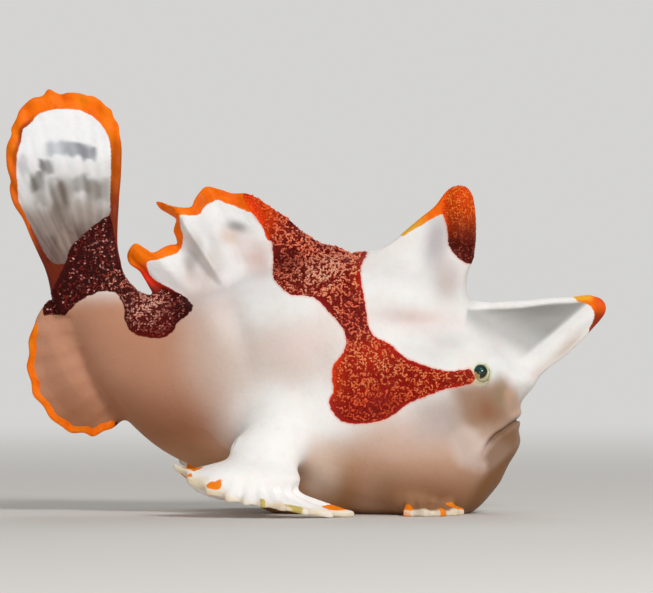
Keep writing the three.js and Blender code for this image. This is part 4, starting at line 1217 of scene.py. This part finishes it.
# ----------------------------------------------------------------- materials
class Tree:
    """A short way to write a material's nodes."""

    def __init__(self, name):
        self.mat = bpy.data.materials.new(name)
        self.mat.use_nodes = True
        self.t = self.mat.node_tree
        self.bsdf = self.t.nodes["Principled BSDF"]
        self.where = None

    def node(self, kind, **props):
        n = self.t.nodes.new(kind)
        for k, v in props.items():
            setattr(n, k, v)
        return n

    def link(self, a, b):
        self.t.links.new(a, b)

    def set(self, socket, v):
        if isinstance(v, (int, float)):
            socket.default_value = v
        elif isinstance(v, (tuple, list, np.ndarray)):
            v = tuple(float(i) for i in v)
            socket.default_value = v + (1.0,) if len(v) == 3 and socket.type == "RGBA" else v
        else:
            self.link(v, socket)

    def math(self, op, a, b=0.0, c=0.0, clamped=False):
        n = self.node("ShaderNodeMath", operation=op, use_clamp=clamped)
        for s, v in zip(n.inputs, (a, b, c)):
            self.set(s, v)
        return n.outputs[0]

    def range(self, v, a, b, lo=0.0, hi=1.0, smooth=True):
        n = self.node("ShaderNodeMapRange", interpolation_type="SMOOTHSTEP" if smooth else "LINEAR")
        for s, q in zip((n.inputs[0], n.inputs[1], n.inputs[2], n.inputs[3], n.inputs[4]), (v, a, b, lo, hi)):
            self.set(s, q)
        return n.outputs[0]

    def mix(self, f, a, b, blend="MIX"):
        n = self.node("ShaderNodeMix", data_type="RGBA", blend_type=blend)
        self.set(n.inputs[0], f)
        self.set(n.inputs[6], a)
        self.set(n.inputs[7], b)
        return n.outputs[2]

    def blend(self, f, a, b):
        n = self.node("ShaderNodeMix", data_type="FLOAT")
        for i, v in ((0, f), (2, a), (3, b)):
            self.set(n.inputs[i], v)
        return n.outputs[0]

    def attr(self, name, fac=False):
        n = self.node("ShaderNodeAttribute", attribute_type="GEOMETRY", attribute_name=name)
        return n.outputs["Fac"] if fac else n.outputs["Color"]

    def place(self):
        if self.where is None:
            self.where = self.node("ShaderNodeTexCoord").outputs["Object"]
        return self.where

    def noise(self, per_mm, detail=2.0, rough=0.5, warp=0.0):
        n = self.node("ShaderNodeTexNoise")
        self.link(self.place(), n.inputs["Vector"])
        n.inputs["Scale"].default_value = per_mm * 1000
        n.inputs["Detail"].default_value = detail
        n.inputs["Roughness"].default_value = rough
        n.inputs["Distortion"].default_value = warp
        return n.outputs["Fac"]

    def cells(self, per_mm, feature="F1", out="Distance"):
        n = self.node("ShaderNodeTexVoronoi", feature=feature)
        self.link(self.place(), n.inputs["Vector"])
        n.inputs["Scale"].default_value = per_mm * 1000
        return n.outputs[out]

    def bump(self, height, depth_mm, strength=1.0, under=None):
        n = self.node("ShaderNodeBump")
        n.inputs["Strength"].default_value = strength
        n.inputs["Distance"].default_value = depth_mm * 0.001
        self.link(height, n.inputs["Height"])
        if under is not None:
            self.link(under, n.inputs["Normal"])
        return n.outputs[0]

    def finish(self, **sockets):
        for k, v in sockets.items():
            self.set(self.bsdf.inputs[k.replace("_", " ")], v)
        return self.mat


def skin_material():
    t = Tree("frogfish_skin")
    ground = t.attr("ground")
    # faint mottling of the white skin
    n1 = t.noise(0.9, 3, 0.6)
    n2 = t.noise(3.2, 3, 0.6)
    ground = t.mix(t.range(n1, 0.42, 0.80, 0.0, 0.15), ground, (0.78, 0.66, 0.62), "MULTIPLY")
    ground = t.mix(t.range(n2, 0.47, 0.8, 0.0, 0.11), ground, (0.75, 0.68, 0.66), "MULTIPLY")
    # borders, a little ragged
    wob = t.math("MULTIPLY_ADD", t.noise(1.6, 3, 0.55), 0.34, -0.17)
    wob_fine = t.math("MULTIPLY_ADD", t.noise(4.0, 2, 0.5), 0.16, -0.08)
    red = t.math("ADD", t.math("ADD", t.attr("red", True), wob), wob_fine)
    org = t.math("ADD", t.math("ADD", t.attr("margin", True), t.math("MULTIPLY", wob, 0.55)), wob_fine)
    in_red = t.range(red, 0.055, -0.055)
    in_org = t.range(org, 0.06, -0.06)
    # orange margin with streaks along the rays
    streak = t.noise(2.2, 3, 0.6)
    orange = t.mix(t.range(streak, 0.45, 0.8, 0.0, 0.40), t.attr("margin_ground"), (0.86, 0.62, 0.4), "MULTIPLY")
    col = t.mix(in_org, ground, orange)
    # thin pale rim round the red patches
    rim = t.math("MULTIPLY", t.math("MULTIPLY", t.range(red, 0.26, 0.06), t.attr("rim", True)), t.math("SUBTRACT", 1.0, in_red))
    col = t.mix(t.math("MULTIPLY", rim, t.math("SUBTRACT", 0.38, t.math("MULTIPLY", in_org, 0.38))), col, tuple(srgb(238, 150, 116)))
    # red ground: brighter at its border; painted shade darkens the pits between the granules
    edge = t.range(red, -0.55, 0.0)
    redc = t.attr("red_ground")
    worm = t.cells(3.4, "DISTANCE_TO_EDGE")
    redc = t.mix(t.range(worm, 0.0, 0.16, 0.75, 0.0), redc, (0.42, 0.30, 0.28), "MULTIPLY")
    redc = t.mix(t.math("MULTIPLY", edge, 0.7), redc, (1.7, 1.9, 1.5), "MULTIPLY")
    col = t.mix(in_red, col, redc)
    # relief
    fine = t.noise(5.5, 3, 0.6)
    pebbles = t.cells(2.4, "SMOOTH_F1")
    b1 = t.bump(pebbles, 0.040, 0.45)
    b2 = t.bump(fine, 0.032, 0.6, b1)
    rough = t.range(n2, 0.3, 0.7, 0.40, 0.52)
    rough = t.blend(in_red, rough, 0.55)
    m = t.finish(Base_Color=col, Normal=b2, Roughness=rough)
    t.finish(Subsurface_Weight=0.16, Subsurface_Radius=(1.0, 0.45, 0.3), Subsurface_Scale=0.0005,
             Specular_IOR_Level=0.11)
    return m


skin.data.materials.append(skin_material())
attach(skin, "root")
flesh = [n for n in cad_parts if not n.startswith("eye_")]
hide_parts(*flesh)

# ------------------------------------------------------------------ granules
# solid grains over the red patches, finer on the cheek, the knob and the stalk
def finer(p):
    x, z = p[:, 0], p[:, 2]
    cheek = ramp(x, 0.0, 5.0) * ramp(z, 18.5, 16.0)
    return np.maximum(cheek, np.maximum((x > 12.5) & (z > 23), (x < -11) & (z > 16)))


def grains():
    rng = np.random.default_rng(5)
    q = quads
    a, b, c, d = (verts[q[:, i]] for i in range(4))
    n1 = np.cross(b - a, c - a)
    n2 = np.cross(c - a, d - a)
    area_q = 0.5 * (np.linalg.norm(n1, axis=1) + np.linalg.norm(n2, axis=1))
    normal = n1 + n2
    normal /= np.linalg.norm(normal, axis=1)[:, None] + 1e-12
    red_q = red_d[q].mean(1)
    # bare strips of the patches: the fore end at the soft dorsal fin and parts of the border
    mid = (a + c) / 2
    edge = 0.14 + 0.45 * ramp(noise(*(mid[:, i].astype(F) for i in range(3)), 2.6, 41), 0.05, 0.6)
    edge += 0.8 * spot(mid[:, 0], mid[:, 2], 258, 203, 13, 20, 0, 4) + 0.45 * spot(mid[:, 0], mid[:, 2], 335, 374, 8, 26, 0, 4)
    sel = np.flatnonzero((red_q < -edge) & (verts[q[:, 0], 2] > 0.3))
    total = area_q[sel].sum()
    want = int(total / 0.0038)
    pick = sel[rng.choice(len(sel), want, p=area_q[sel] / total)]
    u, v = rng.random((2, want, 1))
    p = (a[pick] * (1 - u) + b[pick] * u) * (1 - v) + (d[pick] * (1 - u) + c[pick] * u) * v
    n = normal[pick]
    # thin out so that no two grains start closer than their spacing
    thin = {}
    keep = []
    red_p = red_q[pick]
    space = np.where(red_p < -0.5, 0.152, 0.165) * rng.uniform(0.85, 1.2, want) * (1 - 0.20 * finer(p))
    cell = np.floor(p / 0.26).astype(int)
    for i in range(want):
        ci, cj, ck = cell[i]
        ok = True
        for di in (-1, 0, 1):
            for dj in (-1, 0, 1):
                for dk in (-1, 0, 1):
                    for j in thin.get((ci + di, cj + dj, ck + dk), ()):
                        w = p[i] - p[j]
                        if w @ w < space[i] * space[i] and n[i] @ n[j] > 0.2:
                            ok = False
                            break
                    if not ok:
                        break
                if not ok:
                    break
            if not ok:
                break
        if ok:
            keep.append(i)
            thin.setdefault((ci, cj, ck), []).append(i)
    keep = np.array(keep)
    return p[keep], n[keep], pick[keep], red_p[keep]


gp, gn, gface, gred = grains()


def grain_meshes(limit=190000):
    rng = np.random.default_rng(8)
    n = len(gp)
    spokes = 8
    levels = [(1.0, -0.55), (0.94, 0.30), (0.52, 0.85)]
    ang = np.arange(spokes) * 2 * math.pi / spokes
    unit = [(r * math.cos(t), r * math.sin(t), h) for r, h in levels for t in ang] + [(0, 0, 1.0)]
    unit = np.array(unit)
    faces = []
    for l in range(len(levels) - 1):
        for s in range(spokes):
            s2 = (s + 1) % spokes
            faces += [(l * spokes + s, l * spokes + s2, (l + 1) * spokes + s2),
                      (l * spokes + s, (l + 1) * spokes + s2, (l + 1) * spokes + s)]
    top = len(unit) - 1
    for s in range(spokes):
        faces.append(((len(levels) - 1) * spokes + s, (len(levels) - 1) * spokes + (s + 1) % spokes, top))
    faces = [(0, s + 1, s) for s in range(1, spokes - 1)] + faces       # closed below
    faces = np.array(faces)
    # the grain's patch on the map: a disc, with its underside as a dot beside it
    flat = np.array([(r * math.cos(t), r * math.sin(t)) for r in (0.0015, 0.00115, 0.0006) for t in ang] + [(0, 0)])
    patch = flat[faces]
    patch[:spokes - 2] = patch[:spokes - 2, ::-1][:, ::-1] * 0.15 + 0.00135
    # frame of each grain
    up = gn
    ref = np.where(np.abs(up[:, 2:3]) > 0.85, [[1.0, 0, 0]], [[0, 0, 1.0]])
    ta = np.cross(ref, up)
    ta /= np.linalg.norm(ta, axis=1)[:, None]
    tb = np.cross(up, ta)
    # winding rows: along the zero lines of a fine noise grains are bright and long
    fine = finer(gp)

    def rows(p):
        a, b, c = (p[:, i].astype(F) for i in range(3))
        return lerp(noise(a, b, c, 0.36, 31), noise(a, b, c, 0.285, 32), fine)

    e = 0.03
    here = rows(gp)
    slope = np.stack([rows(gp + e * np.eye(3)[i]) - here for i in range(3)], 1) / e
    along = np.cross(up, slope)
    far = np.linalg.norm(along, axis=1)
    along[far < 1e-6] = ta[far < 1e-6]
    along /= np.linalg.norm(along, axis=1)[:, None]
    on_row = ramp(np.abs(here) / np.maximum(far, 0.35) / (1 - 0.22 * fine), 0.160, 0.095)
    on_row = on_row * ramp(noise(*(gp[:, i].astype(F) for i in range(3)), 0.62, 35), -0.78, -0.45)
    gap = noise(*(gp[:, i].astype(F) for i in range(3)), 0.30, 36)
    on_row = on_row * ramp(gap, lerp(-0.75, -0.46, fine), lerp(-0.45, -0.20, fine))
    turn = rng.uniform(-0.45, 0.45, n)
    ca, sa = np.cos(turn)[:, None], np.sin(turn)[:, None]
    side_v = np.cross(up, along)
    ta, tb = along * ca + side_v * sa, side_v * ca - along * sa
    size = rng.uniform(0.071, 0.092, n) * (1.0 + 0.40 * on_row) * (1 - 0.20 * fine)
    size *= np.where(gred < -0.35, 1.0, 0.85)
    size *= 1 - 0.15 * ((gp[:, 0] > 12.5) & (gp[:, 2] > 23))
    long = size * (1.0 + on_row * rng.uniform(0.1, 0.7, n))
    high = size * rng.uniform(0.7, 1.0, n) * (0.55 + 0.75 * on_row)
    high *= 1 - 0.4 * ((gp[:, 0] > 12.5) & (gp[:, 2] > 23))
    jig = 1 + rng.uniform(-0.15, 0.15, (n, len(unit)))
    bend = rng.uniform(-0.35, 0.35, n)
    ux = unit[None, :, 0] * jig
    uy = unit[None, :, 1] * jig + bend[:, None] * (ux ** 2 - 0.4)
    pts = (gp[:, None] + ta[:, None] * (ux * long[:, None])[..., None]
           + tb[:, None] * (uy * size[:, None])[..., None]
           + up[:, None] * (unit[None, :, 2] * high[:, None])[..., None])
    # colours: pale tops over dark feet, in the tone of the patch below; the pale tops are partly painted highlight and
    # the darker feet painted shade
    x, y, z = gp[:, 0].astype(F), gp[:, 1].astype(F), gp[:, 2].astype(F)
    k = VIEW_D / (VIEW_D - np.abs(y))
    xs, zs = VIEW_X + (x - VIEW_X) * k, VIEW_Z + (z - VIEW_Z) * k
    pale = np.tile(srgb(255, 132, 96), (n, 1))
    # pinker tops across the upper saddle: painted light from above
    pale = shade(pale, srgb(255, 172, 142), 0.9 * spot(xs, zs, 318, 274, 30, 18, 25, 2.4))
    pale = shade(pale, srgb(255, 152, 112), 0.9 * spot(xs, zs, 357, 282, 9, 26, 0, 2.6))
    pale = shade(pale, srgb(180, 84, 66), 0.9 * spot(xs, zs, 284, 260, 22, 17, 0, 2.6))
    pale = shade(pale, srgb(226, 132, 112), 0.7 * spot(xs, zs, 318, 240, 40, 8, -35, 2.6))
    pale = shade(pale, srgb(244, 108, 44), spot(xs, zs, 264, 208, 18, 26, 0, 2.6))
    pale = shade(pale, srgb(236, 104, 78), spot(xs, zs, 352, 320, 16, 28, 0, 2.6))
    pale = shade(pale, srgb(255, 124, 74), ramp(xs, 1.0, 4.0) * ramp(zs, 18.2, 16.6) * (xs < 18))
    pale = shade(pale, srgb(255, 150, 98), 0.9 * spot(xs, zs, 372, 362, 30, 18, -20, 2.4))
    pale = shade(pale, srgb(206, 66, 38), spot(xs, zs, 375, 408, 50, 14, 8) * 0.9)
    # dark stalk grains: partly the patch's own colour, partly painted shade
    stalk_w = ((xs < -11) & (zs > 16)).astype(F)
    pale = shade(pale, srgb(126, 38, 32), stalk_w)
    # painted highlight: a cluster of brighter grains on the stalk
    pale = shade(pale, srgb(255, 178, 156), stalk_w * spot(xs, zs, 147, 306, 22, 16))
    pale = shade(pale, srgb(118, 30, 22), stalk_w * spot(xs, zs, 180, 308, 12, 15, 0, 3.0))
    pale = shade(pale, srgb(214, 122, 100), stalk_w * spot(xs, zs, 117, 284, 12, 12))
    on_knob = ((xs > 12.5) & (zs > 23)).astype(F)
    pale = shade(pale, srgb(146, 62, 44), on_knob)
    pale = shade(pale, srgb(255, 128, 42), on_knob * ramp(zs, 27.0, 31.5))
    dark = red_c[quads[gface, 0]]
    patchy = 0.5 + 0.5 * np.clip(noise(x, y, z, 1.7, 33) * 1.6, -1, 1)
    tone = 0.02 + on_row * (0.78 + 0.50 * patchy) * rng.uniform(0.55, 1.30, n) + rng.uniform(-0.05, 0.14, n)
    # a few grains lighter at random: painted glints
    tone = np.clip(tone + (rng.random(n) > 0.93) * rng.uniform(0.2, 0.7, n), 0.0, 1.4)
    # a few painted sparkles of light on the dark stalk
    painted_sparkle = stalk_w * (rng.random(n) > 0.72) * on_row * rng.uniform(0.2, 0.85, n)
    pale = shade(pale, srgb(236, 178, 166), painted_sparkle)
    tip = 0.75 * dark * (1 - np.minimum(tone, 1.0))[:, None] + pale * tone[:, None]
    tip = np.minimum(tip, 0.95)
    hgt = np.clip(unit[:, 2], 0, 1) ** 0.55
    col = dark[:, None] * 0.8 * (1 - hgt)[None, :, None] + tip[:, None] * hgt[None, :, None]
    # each piece is one region of one side, with a map of the skin under it
    pieces = []
    for side in (gp[:, 1] <= 0, gp[:, 1] > 0):
        ids = np.flatnonzero(side)
        ids = ids[np.argsort(gp[ids, 0], kind="stable")]
        pieces += np.array_split(ids, max(1, math.ceil(len(ids) * len(faces) / limit)))
    out = []
    for ids in pieces:
        k = len(ids)
        v = pts[ids].reshape(-1, 3)
        fcs = (faces[None] + (np.arange(k) * len(unit))[:, None, None]).transpose(1, 0, 2).reshape(-1, 3)
        mid = verts[quads].mean(1)
        near = np.flatnonzero((red_d[quads].mean(1) < 0.3) & (mid[:, 0] > gp[ids, 0].min() - 0.5)
                              & (mid[:, 0] < gp[ids, 0].max() + 0.5) & (mid[:, 1] * (1 if gp[ids[0], 1] > 0 else -1) > -0.6))
        own = unwrap(verts, quads[near], np.zeros(len(near), int)).mean(1)
        place = np.zeros((len(quads), 2))
        place[near] = own
        uv = (place[gface[ids]][None, :, None] + patch[:, None]).reshape(-1, 3, 2)
        ob = mesh_object("granules_%d" % (len(out) + 1), v, fcs, uv=uv)
        put(ob.data, "tone", col[ids].reshape(-1, 3), "FLOAT_COLOR")
        out.append(ob)
    return out


def grain_material():
    t = Tree("granule")
    col = t.mix(t.range(t.noise(6.0, 2), 0.35, 0.7, 0.0, 0.25), t.attr("tone"), (0.75, 0.6, 0.55), "MULTIPLY")
    t.finish(Base_Color=col, Roughness=0.34, Specular_IOR_Level=0.09,
             Normal=t.bump(t.noise(9.0, 2), 0.01, 0.4))
    return t.mat


coat = grain_meshes()
gm = grain_material()
for ob in coat:
    ob.data.materials.append(gm)
    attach(ob, "root")


# ---------------------------------------------------------------------- eyes
def eyeball(side):
    """side -1 is the right eye."""
    gaze = np.array([-0.08, side * 0.94, 0.33])
    gaze /= np.linalg.norm(gaze)
    up = np.array([0, 0, 1.0]) - gaze * gaze[2]
    up /= np.linalg.norm(up)
    fore = np.array([1.0, 0, 0]) - gaze * gaze[0] - up * up[0]
    fore /= np.linalg.norm(fore)
    rings, spokes = 56, 72
    pts, polar = [], []
    for i in range(rings + 1):
        th = math.pi * i / rings
        for j in range(spokes if 0 < i < rings else 1):
            ph = 2 * math.pi * j / spokes
            r = EYE_R
            if th < 0.85:       # the clear front bulges a little
                r += 0.05 * (0.5 + 0.5 * math.cos(math.pi * th / 0.85))
            s = math.sin(th)
            pts.append(r * (math.cos(th) * gaze + s * math.cos(ph) * fore + s * math.sin(ph) * up))
            polar.append((th, ph))
    polar = np.array(polar)
    idx = lambda i, j: 0 if i == 0 else (1 + (rings - 1) * spokes if i == rings else 1 + (i - 1) * spokes + j % spokes)
    flip = side > 0
    tris = []
    for i in range(rings):
        for j in range(spokes):
            if i == 0:
                f = [(idx(0, 0), idx(1, j), idx(1, j + 1))]
            elif i == rings - 1:
                f = [(idx(i, j), idx(rings, 0), idx(i, j + 1))]
            else:
                f = [(idx(i, j), idx(i + 1, j), idx(i + 1, j + 1)), (idx(i, j), idx(i + 1, j + 1), idx(i, j + 1))]
            tris += [q[::-1] if flip else q for q in f]
    centre = np.array([EYE_XZ[0], side * EYE_Y, EYE_XZ[1]])
    v = np.array(pts) + centre
    th, ph = polar[:, 0], polar[:, 1]
    # colours: teal-black pupil with a painted teal reflection and glint, ochre wedge low behind, yellow-green ring
    n = len(v)
    c = np.tile(srgb(206, 204, 170), (n, 1))
    c = shade(c, srgb(178, 170, 128), ramp(th, 1.08, 1.3))
    c = shade(c, srgb(226, 230, 186), bell(th, 0.95, 0.10) * 0.8)
    px, pz = np.sin(th) * np.cos(ph), np.sin(th) * np.sin(ph)
    low = ramp(-pz, 0.1, 0.6)
    c = shade(c, srgb(196, 184, 146), 0.8 * low)
    pupil = ramp(th, 0.80, 0.73)
    c = shade(c, srgb(96, 84, 44), 0.8 * ramp(th, 0.88, 0.80))
    c = shade(c, srgb(10, 16, 14), pupil)
    teal_reflection = pupil * np.exp(-(((px + 0.12) / 0.30) ** 2 + ((pz - 0.22) / 0.24) ** 2))
    c = shade(c, srgb(14, 74, 82), 0.9 * teal_reflection)
    green = pupil * np.exp(-(((px - 0.22) / 0.18) ** 2 + ((pz - 0.02) / 0.26) ** 2))
    c = shade(c, srgb(24, 78, 40), 0.75 * green)
    pupil_glint = pupil * np.exp(-(((px - 0.10) / 0.07) ** 2 + ((pz - 0.20) / 0.06) ** 2))
    c = shade(c, srgb(60, 170, 180), 0.8 * pupil_glint)
    wa = np.degrees(np.arctan2(pz, px))
    wedge = ramp(np.abs(((wa + 130) + 180) % 360 - 180), 44, 34) * ramp(th, 0.34, 0.44) * ramp(th, 0.88, 0.80)
    c = shade(c, srgb(188, 156, 92), 0.95 * wedge)
    ob = mesh_object("eyeball_right" if side < 0 else "eyeball_left", v, np.array(tris))
    put(ob.data, "tone", c, "FLOAT_COLOR")
    return ob


def eye_material():
    t = Tree("eye")
    col = t.mix(t.range(t.noise(7.0, 3), 0.4, 0.7, 0.0, 0.3), t.attr("tone"), (0.7, 0.62, 0.5), "MULTIPLY")
    t.finish(Base_Color=col, Roughness=0.20, Specular_IOR_Level=0.4, Coat_Weight=0.45, Coat_Roughness=0.08)
    return t.mat


em = eye_material()
for side, node in ((-1, "eye_right"), (1, "eye_left")):
    ob = eyeball(side)
    ob.data.materials.append(em)
    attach(ob, "root")
    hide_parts(node)
